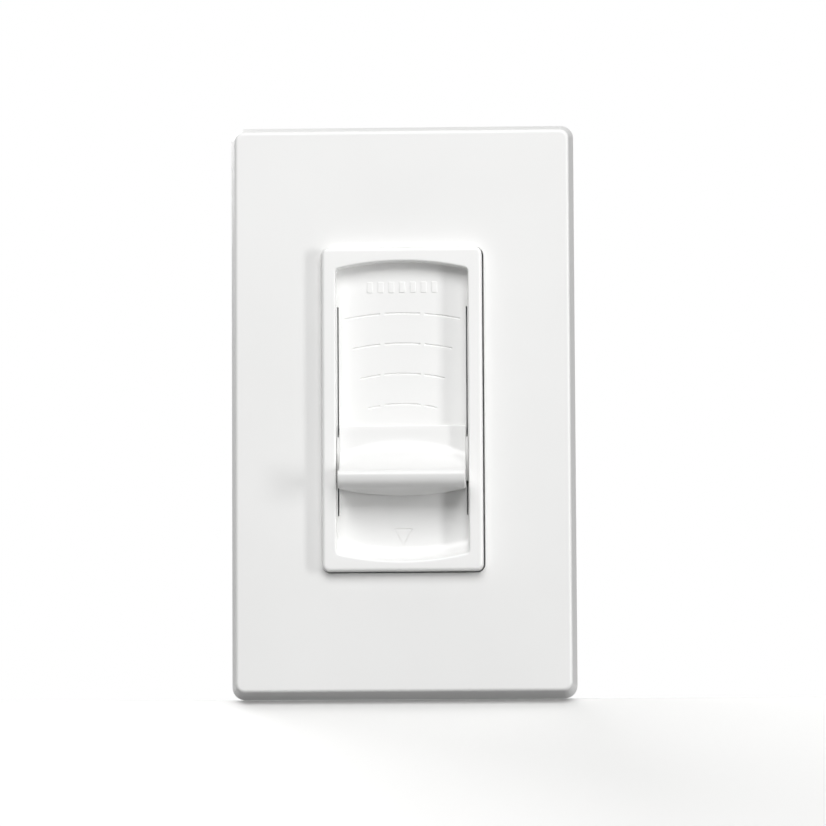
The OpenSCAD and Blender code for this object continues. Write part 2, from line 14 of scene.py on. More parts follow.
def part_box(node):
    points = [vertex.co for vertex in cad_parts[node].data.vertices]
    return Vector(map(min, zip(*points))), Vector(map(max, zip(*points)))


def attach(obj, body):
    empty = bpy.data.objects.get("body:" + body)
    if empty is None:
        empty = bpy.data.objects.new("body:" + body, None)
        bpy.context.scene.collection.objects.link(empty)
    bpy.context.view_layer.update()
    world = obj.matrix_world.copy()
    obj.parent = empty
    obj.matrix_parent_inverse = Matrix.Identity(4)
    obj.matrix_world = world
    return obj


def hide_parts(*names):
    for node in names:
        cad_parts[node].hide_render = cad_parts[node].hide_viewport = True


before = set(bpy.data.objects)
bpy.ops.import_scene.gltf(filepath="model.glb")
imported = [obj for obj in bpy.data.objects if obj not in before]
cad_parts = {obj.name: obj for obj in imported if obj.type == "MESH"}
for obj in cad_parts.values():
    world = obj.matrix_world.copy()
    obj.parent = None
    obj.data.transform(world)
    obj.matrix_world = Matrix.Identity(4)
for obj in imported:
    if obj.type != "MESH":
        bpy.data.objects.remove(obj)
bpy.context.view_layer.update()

MM = 0.001
# Bow radius of an edge that is straight, and how far the recessed panel lies below the bezel's front, in millimetres.
FLAT = 1.0e6
PANEL_DEPTH = 3.6
Point2 = tuple[float, float]
Point3 = tuple[float, float, float]
log = logging.getLogger("dimmer")


class Body(Enum):
    """The rigid bodies that a piece can ride on."""

    DEVICE = "device"
    SLIDER = "slider"
    COVER = "cover"


class Shade(Enum):
    """How the corners between a piece's faces are shaded, as the angle in degrees that stays sharp."""

    CRISP = 28.0
    SOFT = 50.0


# ---------------------------------------------------------------- colour and node trees


def linear(code: str) -> tuple[float, float, float, float]:
    """Turns an sRGB colour into the linear values that a shader takes.

    Args:
        code: Six hex digits, red first.
    Returns:
        Red, green, blue and alpha, each from 0 to 1.
    """
    parts = [int(code[i : i + 2], 16) / 255 for i in (0, 2, 4)]
    light = [p / 12.92 if p <= 0.04045 else ((p + 0.055) / 1.055) ** 2.4 for p in parts]
    return (light[0], light[1], light[2], 1.0)


def add_node(
    tree: bpy.types.NodeTree, kind: str, inputs: dict[Any, Any] | None = None, **settings: Any
) -> bpy.types.Node:
    """Adds a node with its settings, constants and links.

    Args:
        tree: The node tree that takes the node.
        kind: Blender's name for the node type.
        inputs: Socket name or number, to a constant, an output socket, or a node whose first output is used.
        **settings: Properties of the node itself.
    Returns:
        The new node.
    """
    node = tree.nodes.new(kind)
    for key, value in settings.items():
        setattr(node, key, value)
    for key, value in (inputs or {}).items():
        if isinstance(value, bpy.types.Node):
            value = value.outputs[0]
        if isinstance(value, bpy.types.NodeSocket):
            tree.links.new(value, node.inputs[key])
        else:
            node.inputs[key].default_value = value
    return node


# ---------------------------------------------------------------- finishes


@dataclass(frozen=True)
class Finish:
    """A surface finish, which starts from one real material.

    The pattern sizes are in millimetres and the colours are sRGB hex codes.
    """

    name: str
    colour: str
    colour_b: str
    roughness: float = 0.4
    ior: float = 1.5
    metallic: float = 0.0
    coat: float = 0.0
    cloud_mm: float = 12.0
    grain_mm: tuple[float, float, float] = (0.8, 0.8, 0.8)
    grain_depth_mm: float = 0.003
    grain_detail: float = 2.0
    rough_spread: float = 0.05

    def material(self) -> bpy.types.Material:
        """Builds the material once, and hands back the same one after that."""
        made = bpy.data.materials.get(self.name)
        if made is None:
            made = bpy.data.materials.new(self.name)
            made.use_nodes = True
            tree = made.node_tree
            tree.nodes.clear()
            shader = add_node(
                tree,
                "ShaderNodeBsdfPrincipled",
                {"Roughness": self.roughness, "Metallic": self.metallic, "Coat Weight": self.coat},
            )
            if not self.metallic:
                shader.inputs["IOR"].default_value = self.ior
            self.paint(tree, shader, add_node(tree, "ShaderNodeTexCoord").outputs["Object"])
            add_node(tree, "ShaderNodeOutputMaterial", {"Surface": shader})
            made.diffuse_color = linear(self.colour)
        return made

    def scaled(
        self, tree: bpy.types.NodeTree, place: bpy.types.NodeSocket, size_mm: Sequence[float]
    ) -> bpy.types.Node:
        """Maps Object coordinates so that a pattern repeats at the given sizes.

        Args:
            tree: The material's tree.
            place: The Object coordinates.
            size_mm: Size of the pattern along X, Y and Z.
        Returns:
            The Mapping node.
        """
        scale = [1 / (s * MM) for s in size_mm]
        return add_node(tree, "ShaderNodeMapping", {"Vector": place, "Scale": scale})

    def two_tone(
        self, tree: bpy.types.NodeTree, factor: Any, stops: Sequence[tuple[float, str]]
    ) -> bpy.types.Node:
        """Adds a colour ramp.

        Args:
            tree: The material's tree.
            factor: What runs along the ramp.
            stops: Place from 0 to 1 and colour of each stop.
        Returns:
            The ramp node.
        """
        ramp = add_node(tree, "ShaderNodeValToRGB", {"Fac": factor})
        elements = ramp.color_ramp.elements
        while len(elements) < len(stops):
            elements.new(0.5)
        for element, (place, code) in zip(elements, stops):
            element.position = place
            element.color = linear(code)
        return ramp

    def paint(self, tree: bpy.types.NodeTree, shader: bpy.types.Node, place: bpy.types.NodeSocket) -> None:
        """Gives the shader its colour clouds, its uneven gloss and its surface grain.

        Args:
            tree: The material's tree.
            shader: The surface shader.
            place: The Object coordinates.
        """
        clouds = add_node(
            tree,
            "ShaderNodeTexNoise",
            {"Vector": self.scaled(tree, place, [self.cloud_mm] * 3), "Scale": 1.0, "Detail": 2.0},
        )
        ramp = self.two_tone(tree, clouds, [(0.3, self.colour), (0.7, self.colour_b)])
        tree.links.new(ramp.outputs["Color"], shader.inputs["Base Color"])
        grain = add_node(
            tree,
            "ShaderNodeTexNoise",
            {"Vector": self.scaled(tree, place, self.grain_mm), "Scale": 1.0, "Detail": self.grain_detail},
        )
        gloss = add_node(
            tree,
            "ShaderNodeMapRange",
            {
                "Value": grain,
                "From Min": 0.3,
                "From Max": 0.7,
                "To Min": self.roughness - self.rough_spread,
                "To Max": self.roughness + self.rough_spread,
            },
        )
        tree.links.new(gloss.outputs["Result"], shader.inputs["Roughness"])
        bump = add_node(
            tree, "ShaderNodeBump", {"Height": grain, "Distance": self.grain_depth_mm * MM, "Strength": 1.0}
        )
        tree.links.new(bump.outputs["Normal"], shader.inputs["Normal"])


@dataclass(frozen=True)
class SpeckledFinish(Finish):
    """A finish whose filler shows as specks, such as glass-filled thermoset, fibre or pressed laminate."""

    speck: str = "606060"
    speck_mm: float = 0.5
    speck_share: float = 0.12
    speck_fade: float = 0.12
    speck_cover: float = 0.75

    def paint(self, tree: bpy.types.NodeTree, shader: bpy.types.Node, place: bpy.types.NodeSocket) -> None:
        """Lays the specks over the plain finish's colours.

        Args:
            tree: The material's tree.
            shader: The surface shader.
            place: The Object coordinates.
        """
        super().paint(tree, shader, place)
        base = shader.inputs["Base Color"].links[0].from_socket
        cells = add_node(
            tree,
            "ShaderNodeTexVoronoi",
            {"Vector": self.scaled(tree, place, [self.speck_mm] * 3), "Scale": 1.0, "Randomness": 1.0},
        )
        share = add_node(
            tree,
            "ShaderNodeMapRange",
            {
                "Value": cells.outputs["Distance"],
                "From Min": self.speck_share,
                "From Max": self.speck_share + self.speck_fade,
                "To Min": self.speck_cover,
                "To Max": 0.0,
            },
        )
        # The mix node has sockets for each data type, so its colour sockets are set by number.
        mix = add_node(tree, "ShaderNodeMix", {0: share, 6: base, 7: linear(self.speck)}, data_type="RGBA")
        tree.links.new(mix.outputs[2], shader.inputs["Base Color"])


@dataclass(frozen=True)
class BandedFinish(Finish):
    """A painted cylinder with colour bands, placed by the piece's own 'along' attribute."""

    bands: tuple[tuple[float, str], ...] = ()

    def paint(self, tree: bpy.types.NodeTree, shader: bpy.types.Node, place: bpy.types.NodeSocket) -> None:
        """Paints the bands over the body's colour.

        Args:
            tree: The material's tree.
            shader: The surface shader.
            place: The Object coordinates.
        """
        super().paint(tree, shader, place)
        along = add_node(tree, "ShaderNodeAttribute", attribute_name="along")
        ramp = self.two_tone(tree, along.outputs["Fac"], self.bands)
        ramp.color_ramp.interpolation = "CONSTANT"
        tree.links.new(ramp.outputs["Color"], shader.inputs["Base Color"])


# Polycarbonate from a polished mould: even white with a low, wide gloss and a faint orange peel.
# The peel is drawn 1.4 mm across, coarser than a real one, so that it shows.
FACEPLATE_PLASTIC = Finish(
    "faceplate_polycarbonate", "F3F3F2", "F6F6F5", roughness=0.36, ior=1.58, cloud_mm=30,
    grain_mm=(1.4, 1.4, 1.4), grain_depth_mm=0.0006, rough_spread=0.008,
)
# The same family of resin from a finer mould, a touch glossier. Its peel is also drawn coarser than a real one.
BEZEL_PLASTIC = Finish(
    "bezel_thermoplastic", "F8F8F7", "FAFAF9", roughness=0.34, ior=1.54, cloud_mm=18,
    grain_mm=(1.2, 1.2, 1.2), grain_depth_mm=0.0004, rough_spread=0.008,
)
# The part that the finger touches: the glossiest of the three whites. Its peel is drawn like the bezel's.
PADDLE_PLASTIC = Finish(
    "paddle_thermoplastic", "EFEFEE", "F1F1F0", roughness=0.3, ior=1.54, cloud_mm=14,
    grain_mm=(1.2, 1.2, 1.2), grain_depth_mm=0.0005, rough_spread=0.008,
)
# Unpainted ABS behind the faceplate, with the dull spark-eroded texture of a hidden face.
ADAPTER_PLASTIC = Finish(
    "adapter_abs", "E4E4E0", "EAEAE6", roughness=0.56, ior=1.53, cloud_mm=16,
    grain_mm=(0.45, 0.45, 0.45), grain_depth_mm=0.008, grain_detail=3,
)
# Acetal, which is milky and waxy.
CARRIAGE_PLASTIC = Finish(
    "carriage_acetal", "DCDDDC", "E3E4E2", roughness=0.42, ior=1.48, cloud_mm=8,
    grain_mm=(0.6, 0.6, 0.6), grain_depth_mm=0.003,
)
# Rolled and brushed aluminium sheet: the rolling lines run up the strap, and are drawn 0.25 mm apart,
# coarser than the real ones, so that they show.
STRAP_ALUMINIUM = Finish(
    "strap_brushed_aluminium", "B9BABC", "C6C7C9", roughness=0.34, metallic=1.0, cloud_mm=9,
    grain_mm=(0.25, 0.25, 9.0), grain_depth_mm=0.006, grain_detail=4, rough_spread=0.10,
)
# Zinc-plated steel: bluish grey with a patchy passivated bloom.
SCREW_STEEL = Finish(
    "screw_zinc_plated_steel", "B4B8BE", "CDD0D2", roughness=0.30, metallic=1.0, cloud_mm=1.6,
    grain_mm=(0.3, 0.3, 0.3), grain_depth_mm=0.003, rough_spread=0.09,
)
# Nickel-plated steel of the tubular rivets, warmer and brighter than zinc.
RIVET_STEEL = Finish(
    "rivet_nickel_plated_steel", "B3B1AC", "C8C6C1", roughness=0.26, metallic=1.0, cloud_mm=1.5,
    grain_mm=(0.35, 0.35, 0.35), grain_depth_mm=0.003, rough_spread=0.08,
)
# Red-brown vulcanised fibre, with short darker fibres.
WASHER_FIBRE = SpeckledFinish(
    "washer_vulcanised_fibre", "8B4A32", "9C5840", roughness=0.72, cloud_mm=1.5, grain_mm=(0.2, 0.2, 0.2),
    grain_depth_mm=0.012, speck="5A2C1E", speck_mm=0.35,
)
# Glass-filled thermoset: near black, with a fine matt grain and a few pale fibre ends.
HOUSING_PLASTIC = SpeckledFinish(
    "housing_glass_filled_thermoset", "26272A", "2E2F32", roughness=0.58, ior=1.55, cloud_mm=10,
    grain_mm=(0.4, 0.4, 0.4), grain_depth_mm=0.012, grain_detail=4, rough_spread=0.08,
    speck="4A4B4E", speck_mm=0.55, speck_share=0.08,
)
# Pressed paper and phenolic resin, brown, with faint fibre streaks.
BOARD_LAMINATE = SpeckledFinish(
    "board_phenolic_paper", "9A6B35", "A87A40", roughness=0.46, ior=1.6, cloud_mm=5, grain_mm=(0.3, 0.3, 1.8),
    grain_depth_mm=0.005, speck="7C5224", speck_mm=0.5,
)
# Tin-plated steel can of the potentiometer, with rolling lines along it.
POT_STEEL = Finish(
    "pot_case_tinned_steel", "AEB0B2", "C0C2C3", roughness=0.32, metallic=1.0, cloud_mm=4,
    grain_mm=(0.25, 0.25, 5.0), grain_depth_mm=0.004, rough_spread=0.10,
)
# Carbon ink printed on phenolic laminate.
TRACK_LAMINATE = SpeckledFinish(
    "track_carbon_on_phenolic", "3A2C20", "44352A", roughness=0.5, cloud_mm=2, grain_mm=(0.3, 0.3, 2.0),
    grain_depth_mm=0.004, speck="1E1814", speck_mm=0.4,
)
# Tinned copper wire and solder.
TINNED_WIRE = Finish(
    "tinned_copper_wire", "C9CACA", "DADBDA", roughness=0.24, metallic=1.0, cloud_mm=1.2,
    grain_mm=(0.25, 0.25, 0.25), grain_depth_mm=0.002, rough_spread=0.08,
)
# Ivory nylon of the wiper carrier and the trimmer's rotor.
IVORY_PLASTIC = Finish(
    "ivory_nylon", "E9E1C8", "EFE8D2", roughness=0.48, ior=1.53, cloud_mm=3, grain_mm=(0.4, 0.4, 0.4),
    grain_depth_mm=0.004,
)
# Phosphor bronze spring strip.
SPRING_BRONZE = Finish(
    "spring_phosphor_bronze", "B9824A", "C79258", roughness=0.30, metallic=1.0, cloud_mm=2,
    grain_mm=(2.5, 0.2, 0.2), grain_depth_mm=0.003, rough_spread=0.09,
)
# Black moulding epoxy of the power device.
BLACK_EPOXY = SpeckledFinish(
    "black_moulding_epoxy", "1F2022", "27282A", roughness=0.5, cloud_mm=2, grain_mm=(0.25, 0.25, 0.25),
    grain_depth_mm=0.006, speck="37383A", speck_mm=0.3, speck_share=0.1,
)
# Filled silicone sheet: soft, pink and dull.
SILICONE_PAD = SpeckledFinish(
    "filled_silicone_pad", "C9918E", "D29B97", roughness=0.7, ior=1.42, cloud_mm=3, grain_mm=(0.4, 0.4, 0.4),
    grain_depth_mm=0.008, speck="B87C79", speck_mm=0.4,
)
# Sintered ferrite: dark grey with the grain of the pressed powder.
FERRITE = SpeckledFinish(
    "sintered_ferrite", "3B3C40", "45464A", roughness=0.62, cloud_mm=2.5, grain_mm=(0.3, 0.3, 0.3),
    grain_depth_mm=0.01, speck="2A2B2E", speck_mm=0.35,
)
# Copper wire under a clear amber enamel: the coat gives it a second, sharper gloss.
ENAMELLED_COPPER = Finish(
    "enamelled_copper_wire", "A4552A", "B5642F", roughness=0.30, metallic=1.0, coat=0.6, cloud_mm=2.5,
    grain_mm=(0.5, 0.5, 0.5), grain_depth_mm=0.002, rough_spread=0.06,
)
# Yellow polyester box of a film capacitor.
CAPACITOR_CASE = Finish(
    "capacitor_polyester_box", "D8A13C", "DEAB4B", roughness=0.38, cloud_mm=6, grain_mm=(0.5, 0.5, 0.5),
    grain_depth_mm=0.004,
)
# Dipped epoxy: glossy, with the soft ripple of the dip.
DIPPED_EPOXY = Finish(
    "dipped_epoxy", "7E2A1C", "8E3424", roughness=0.22, coat=0.3, cloud_mm=3, grain_mm=(1.4, 1.4, 1.4),
    grain_depth_mm=0.03, rough_spread=0.04,
)
# Tan lacquer with four colour bands.
RESISTOR_BODY = BandedFinish(
    "resistor_lacquer", "C8A878", "CDB083", roughness=0.34, coat=0.2, cloud_mm=2, grain_mm=(0.6, 0.6, 0.6),
    grain_depth_mm=0.004,
    bands=((0.0, "C8A878"), (0.16, "6B3F22"), (0.26, "C8A878"), (0.36, "1B1B1D"), (0.45, "C8A878"),
           (0.54, "D5762B"), (0.63, "C8A878"), (0.78, "B08B3A"), (0.87, "C8A878")),
)
# Blue lacquered glass diode body with one dark band.
DIAC_GLASS = BandedFinish(
    "diac_lacquered_glass", "3F6FA8", "4678B0", roughness=0.16, coat=0.5, cloud_mm=1.5,
    grain_mm=(0.5, 0.5, 0.5), grain_depth_mm=0.002,
    bands=((0.0, "3F6FA8"), (0.42, "16233A"), (0.58, "3F6FA8")),
)
# Blue glass-filled polyester of the trimmer's case.
TRIMMER_PLASTIC = Finish(
    "trimmer_blue_polyester", "2F58A6", "3762B2", roughness=0.4, cloud_mm=3, grain_mm=(0.4, 0.4, 0.4),
    grain_depth_mm=0.005,
)
# Drawn metal can of the thermal fuse, with drawing lines along it.
FUSE_CAN = Finish(
    "fuse_drawn_can", "B5B2A8", "C6C3B8", roughness=0.3, metallic=1.0, cloud_mm=1.5,
    grain_mm=(0.2, 0.2, 3.0), grain_depth_mm=0.003, rough_spread=0.08,
)
# Stamped brass strip, faintly darker where it has tarnished.
TERMINAL_BRASS = Finish(
    "terminal_brass", "C09A4C", "B08A3E", roughness=0.30, metallic=1.0, cloud_mm=2.2,
    grain_mm=(0.25, 0.25, 2.2), grain_depth_mm=0.004, rough_spread=0.10,
)
# Steel screw with a green passivated dye, for the earth conductor.
GROUND_GREEN = Finish(
    "ground_green_dyed_steel", "2F7A46", "3B8C52", roughness=0.32, metallic=1.0, coat=0.2, cloud_mm=1.5,
    grain_mm=(0.3, 0.3, 0.3), grain_depth_mm=0.003, rough_spread=0.08,
)
# Silver alloy of the contact points, faintly yellowed by tarnish.
CONTACT_SILVER = Finish(
    "contact_silver_alloy", "D3D0C8", "BDB9AF", roughness=0.28, metallic=1.0, cloud_mm=0.6,
    grain_mm=(0.2, 0.2, 0.2), grain_depth_mm=0.003,
)
# Matt paper sweep under the object.
SWEEP_PAPER = Finish(
    "sweep_matt_paper", "F7F7F6", "F9F9F8", roughness=0.9, cloud_mm=160, grain_mm=(2.0, 2.0, 2.0),
    grain_depth_mm=0.01,
)


# ---------------------------------------------------------------- places and outlines


@dataclass(frozen=True)
class Box:
    """The box of a CAD node at rest, in millimetres."""

    low: Vector
    high: Vector

    @classmethod
    def of(cls, node: str) -> "Box":
        """Reads a node's box from the frame."""
        low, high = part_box(node)
        return cls(low / MM, high / MM)

    @property
    def size(self) -> Vector:
        """Length of each side."""
        return self.high - self.low

    @property
    def centre(self) -> Vector:
        """Middle of the box."""
        return (self.high + self.low) / 2


def bowed_outline(
    half_w: float, top: float, bottom: float, corner: float,
    top_bow: float = FLAT, bottom_bow: float = FLAT, corner_steps: int = 8, side_steps: int = 20,
) -> list[Point2]:
    """An upright frame outline with straight sides, bowed ends and rounded corners.

    Args:
        half_w: Half of the width.
        top: Height of the top edge at its middle.
        bottom: Height of the bottom edge at its middle.
        corner: Radius of the corners.
        top_bow: Radius of the top edge.
        bottom_bow: Radius of the bottom edge.
        corner_steps: Segments in each corner.
        side_steps: Segments in the top edge and in the bottom edge.
    Returns:
        Points (x, z), anticlockwise from the right side's upper end.
    """

    def half(end: float, bow: float, sign: int) -> list[Point2]:
        """The upper or lower half of the outline.

        Args:
            end: Height of the edge at its middle.
            bow: Radius of the edge.
            sign: 1 for the upper half, -1 for the lower.
        Returns:
            Points (x, z), from the right side to the left.
        """
        hub = end - sign * bow
        rise = math.sqrt((bow - corner) ** 2 - (half_w - corner) ** 2)
        tilt = math.atan2(half_w - corner, rise)
        centre_z = hub + sign * rise
        points = []
        for i in range(corner_steps + 1):
            a = (math.pi / 2 - tilt) * i / corner_steps
            points.append((half_w - corner + corner * math.cos(a), centre_z + sign * corner * math.sin(a)))
        for i in range(1, side_steps):
            a = tilt * (1 - 2 * i / side_steps)
            points.append((bow * math.sin(a), hub + sign * bow * math.cos(a)))
        points += [(-x, z) for x, z in reversed(points[: corner_steps + 1])]
        return points

    upper = half(top, top_bow, 1)
    lower = half(bottom, bottom_bow, -1)
    return upper + [(x, z) for x, z in reversed(lower)]


def at_depth(outline: Iterable[Point2], y: float) -> list[Point3]:
    """Stands a flat outline upright at depth y."""
    return [(x, y, z) for x, z in outline]


def rounding(radius: float, steps: int) -> list[Point2]:
    """Steps round a quarter circle, from a side wall to a face.

    Args:
        radius: Radius of the rounding.
        steps: Number of segments.
    Returns:
        How far each step lies in from the wall and below the face.
    """
    angles = [math.radians(90 * i / steps) for i in range(steps + 1)]
    return [(radius * (1 - math.cos(a)), radius * (1 - math.sin(a))) for a in angles]


def arc_points(centre: Point2, radius: float, start: float, end: float, steps: int) -> list[Point2]:
    """Points along an arc.

    Args:
        centre: The arc's centre.
        radius: The arc's radius.
        start: First angle, in degrees.
        end: Last angle, in degrees.
        steps: Number of segments.
    Returns:
        The points, both ends included.
    """
    angles = [math.radians(start + (end - start) * i / steps) for i in range(steps + 1)]
    return [(centre[0] + radius * math.cos(a), centre[1] + radius * math.sin(a)) for a in angles]


# ---------------------------------------------------------------- shapes in the making


class Form:
    """A closed shape in millimetres, before it becomes a piece of the object."""

    def __init__(self, points: Sequence[Sequence[float]], faces: Sequence[Sequence[int]]) -> None:
        """Makes the mesh and turns its faces outwards.

        Args:
            points: The corners.
            faces: Corner numbers of each face.
        """
        self.mesh = bpy.data.meshes.new("form")
        self.mesh.from_pydata([tuple(p) for p in points], [], [tuple(f) for f in faces])
        self.edit(lambda bm: bmesh.ops.recalc_face_normals(bm, faces=bm.faces))

    @classmethod
    def around(cls, mesh: bpy.types.Mesh) -> "Form":
        """Wraps a mesh that is already closed and faces outwards."""
        form = cls.__new__(cls)
        form.mesh = mesh
        return form

    @classmethod
    def of_node(cls, node: str, flat_angle: float = 1.0) -> "Form":
        """Copies a CAD node with its loose triangles merged into whole faces.

        Args:
            node: Name of the CAD node.
            flat_angle: Faces that differ by less than this, in degrees, become one.
        Returns:
            The copy.
        """
        form = cls.around(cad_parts[node].data.copy())
        form.mesh.materials.clear()
        form.mesh.transform(Matrix.Scale(1 / MM, 4))

        def merge(bm: bmesh.types.BMesh) -> None:
            """Joins the triangles."""
            bmesh.ops.remove_doubles(bm, verts=bm.verts, dist=0.002)
            bmesh.ops.dissolve_limit(bm, angle_limit=math.radians(flat_angle), verts=bm.verts, edges=bm.edges)

        form.edit(merge)
        # The CAD mesh's own shading would show through the new one.
        own = [a for a in form.mesh.attributes if not a.is_internal]
        for name in [a.name for a in own if a.domain == "CORNER" or a.name in ("sharp_face", "sharp_edge")]:
            form.mesh.attributes.remove(form.mesh.attributes[name])
        return form

    @classmethod
    def loft(cls, loops: Sequence[Sequence[Point3]], ring: bool = False) -> "Form":
        """Skins a row of loops that all have the same number of points.

        Args:
            loops: The loops, in order.
            ring: Joins the last loop to the first; otherwise both ends are closed.
        Returns:
            The closed form.
        """
        n = len(loops[0])
        points = [p for loop in loops for p in loop]
        faces = []
        rows = len(loops) if ring else len(loops) - 1
        for i in range(rows):
            a, b = i * n, ((i + 1) % len(loops)) * n
            faces += [(a + j, a + (j + 1) % n, b + (j + 1) % n, b + j) for j in range(n)]
        if not ring:
            faces += [tuple(range(n)), tuple(range((len(loops) - 1) * n, len(loops) * n))]
        return cls(points, faces)

    @classmethod
    def block(cls, low: Sequence[float], high: Sequence[float]) -> "Form":
        """A box, used to cut or to build up a larger form.

        Args:
            low: Its lowest corner.
            high: Its highest corner.
        Returns:
            The closed form.
        """
        (x0, y0, z0), (x1, y1, z1) = low, high
        bottom = [(x0, y0, z0), (x1, y0, z0), (x1, y1, z0), (x0, y1, z0)]
        top = [(x, y, z1) for x, y, _ in bottom]
        return cls.loft([bottom, top])

    @classmethod
    def sided(cls, side: int, xs: Point2, ys: Point2, zs: Point2) -> "Form":
        """A box on one side of the middle.

        Args:
            side: 1 on the right, -1 on the left.
            xs: Distances of its faces from the middle.
            ys: Its front and back.
            zs: Its bottom and top.
        Returns:
            The closed form.
        """
        low, high = sorted(side * x for x in xs)
        return cls.block((low, ys[0], zs[0]), (high, ys[1], zs[1]))

    @classmethod
    def prism(cls, outline: Sequence[Point2], y0: float, y1: float) -> "Form":
        """An upright outline (x, z) drawn out from depth y0 to depth y1."""
        return cls.loft([at_depth(outline, y0), at_depth(outline, y1)])

    @classmethod
    def lathe(cls, profile: Sequence[Point2], centre: Sequence[float], axis: str = "Y", steps: int = 40) -> "Form":
        """Turns a profile round an axis.

        Args:
            profile: Points (radius, place along the axis), from one end to the other.
            centre: A point on the axis, from which the places along it count.
            axis: X, Y or Z.
            steps: Segments round the axis.
        Returns:
            The closed form.
        """
        loops = []
        for radius, along in profile:
            loop = []
            for i in range(steps):
                a = 2 * math.pi * i / steps
                u, v = max(radius, 0.01) * math.cos(a), max(radius, 0.01) * math.sin(a)
                spot = {"X": (along, u, v), "Y": (u, along, v), "Z": (u, v, along)}[axis]
                loop.append(tuple(s + c for s, c in zip(spot, centre)))
            loops.append(loop)
        return cls.loft(loops)

    def edit(self, change: Callable[[bmesh.types.BMesh], Any]) -> "Form":
        """Changes the mesh's faces, edges and corners.

        Args:
            change: What to do with them.
        Returns:
            This form, changed.
        """
        bm = bmesh.new()
        bm.from_mesh(self.mesh)
        change(bm)
        bm.to_mesh(self.mesh)
        bm.free()
        return self

    def modified(self, kind: str, **settings: Any) -> "Form":
        """Applies one modifier.

        Args:
            kind: Blender's name for the modifier.
            **settings: Its properties.
        Returns:
            This form, changed.
        """
        holder = bpy.data.objects.new("holder", self.mesh)
        bpy.context.scene.collection.objects.link(holder)
        modifier = holder.modifiers.new("work", kind)
        for key, value in settings.items():
            setattr(modifier, key, value)
        graph = bpy.context.evaluated_depsgraph_get()
        self.mesh = bpy.data.meshes.new_from_object(
            holder.evaluated_get(graph), preserve_all_data_layers=True, depsgraph=graph
        )
        bpy.data.objects.remove(holder)
        return self

    def combined(self, other: "Form", operation: str) -> "Form":
        """Cuts this form with another, or joins them.

        Args:
            other: The other form.
            operation: DIFFERENCE or UNION.
        Returns:
            This form, changed.
        """
        tool = bpy.data.objects.new("tool", other.mesh)
        bpy.context.scene.collection.objects.link(tool)
        self.modified("BOOLEAN", operation=operation, object=tool, solver="EXACT")
        bpy.data.objects.remove(tool)
        return self

    def cut(self, *others: "Form") -> "Form":
        """Takes the other forms away."""
        for other in others:
            self.combined(other, "DIFFERENCE")
        return self

    def join(self, *others: "Form") -> "Form":
        """Fuses the other forms on."""
        for other in others:
            self.combined(other, "UNION")
        return self

    def beside(self, *others: "Form") -> "Form":
        """Puts other closed forms in the same mesh, without fusing them."""
        bm = bmesh.new()
        for form in (self, *others):
            bm.from_mesh(form.mesh)
        mesh = bpy.data.meshes.new("form")
        bm.to_mesh(mesh)
        bm.free()
        self.mesh = mesh
        return self

    def eased(self, width: float, segments: int = 2, angle: float = 40.0) -> "Form":
        """Rounds the sharp corners a little.

        Args:
            width: Width of the rounding.
            segments: Faces across it.
            angle: Corners sharper than this, in degrees, are rounded.
        Returns:
            This form, changed.
        """
        return self.modified(
            "BEVEL", width=width, segments=segments, limit_method="ANGLE", angle_limit=math.radians(angle),
            use_clamp_overlap=True, miter_outer="MITER_ARC",
        )

    def shaded(self, shade: Shade) -> "Form":
        """Shades the curved faces smoothly and keeps the flat ones flat."""
        self.mesh.shade_smooth()
        self.mesh.set_sharp_from_angle(angle=math.radians(shade.value))
        return self.modified("WEIGHTED_NORMAL", mode="FACE_AREA", weight=50, keep_sharp=True)

    def placed(
        self, name: str, finish: Finish, body: Body, nodes: Sequence[str], slot: str, shade: Shade = Shade.CRISP
    ) -> bpy.types.Object:
        """Turns the form into a finished piece.

        Args:
            name: The piece's name.
            finish: Its finish.
            body: The body that it rides on.
            nodes: The CAD nodes that it stands for.
            slot: The record's material slot; not used.
            shade: How its corners are shaded.
        Returns:
            The piece.
        """
        self.shaded(shade)
        self.mesh.transform(Matrix.Scale(MM, 4))
        self.mesh.name = name
        self.mesh.materials.clear()
        self.mesh.materials.append(finish.material())
        piece = bpy.data.objects.new(name, self.mesh)
        bpy.context.scene.collection.objects.link(piece)
        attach(piece, body.value)
        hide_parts(*nodes)
        log.info("%s: %d faces, rides on %s", name, len(self.mesh.polygons), body.value)
        return piece


def soften(
    node: str, name: str, finish: Finish, slot: str, easing: float, segments: int = 2, body: Body = Body.DEVICE
) -> None:
    """Places a copy of a CAD node with its sharp corners rounded.

    Args:
        node: Name of the CAD node.
        name: The piece's name.
        finish: Its finish.
        slot: The record's material slot; not used.
        easing: Width of the rounding.
        segments: Faces across the rounding.
        body: The body that it rides on.
    """
    Form.of_node(node).eased(easing, segments).placed(name, finish, body, [node], slot)


def dress(node: str, finish: Finish) -> None:
    """Gives a CAD node that keeps its own mesh a finish.

    Args:
        node: Name of the CAD node.
        finish: The finish.
    """
    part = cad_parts[node]
    part.data.materials.clear()
    part.data.materials.append(finish.material())
    log.info("%s: keeps its CAD shape, finish %s", node, finish.name)


# ---------------------------------------------------------------- Geometry Nodes tools


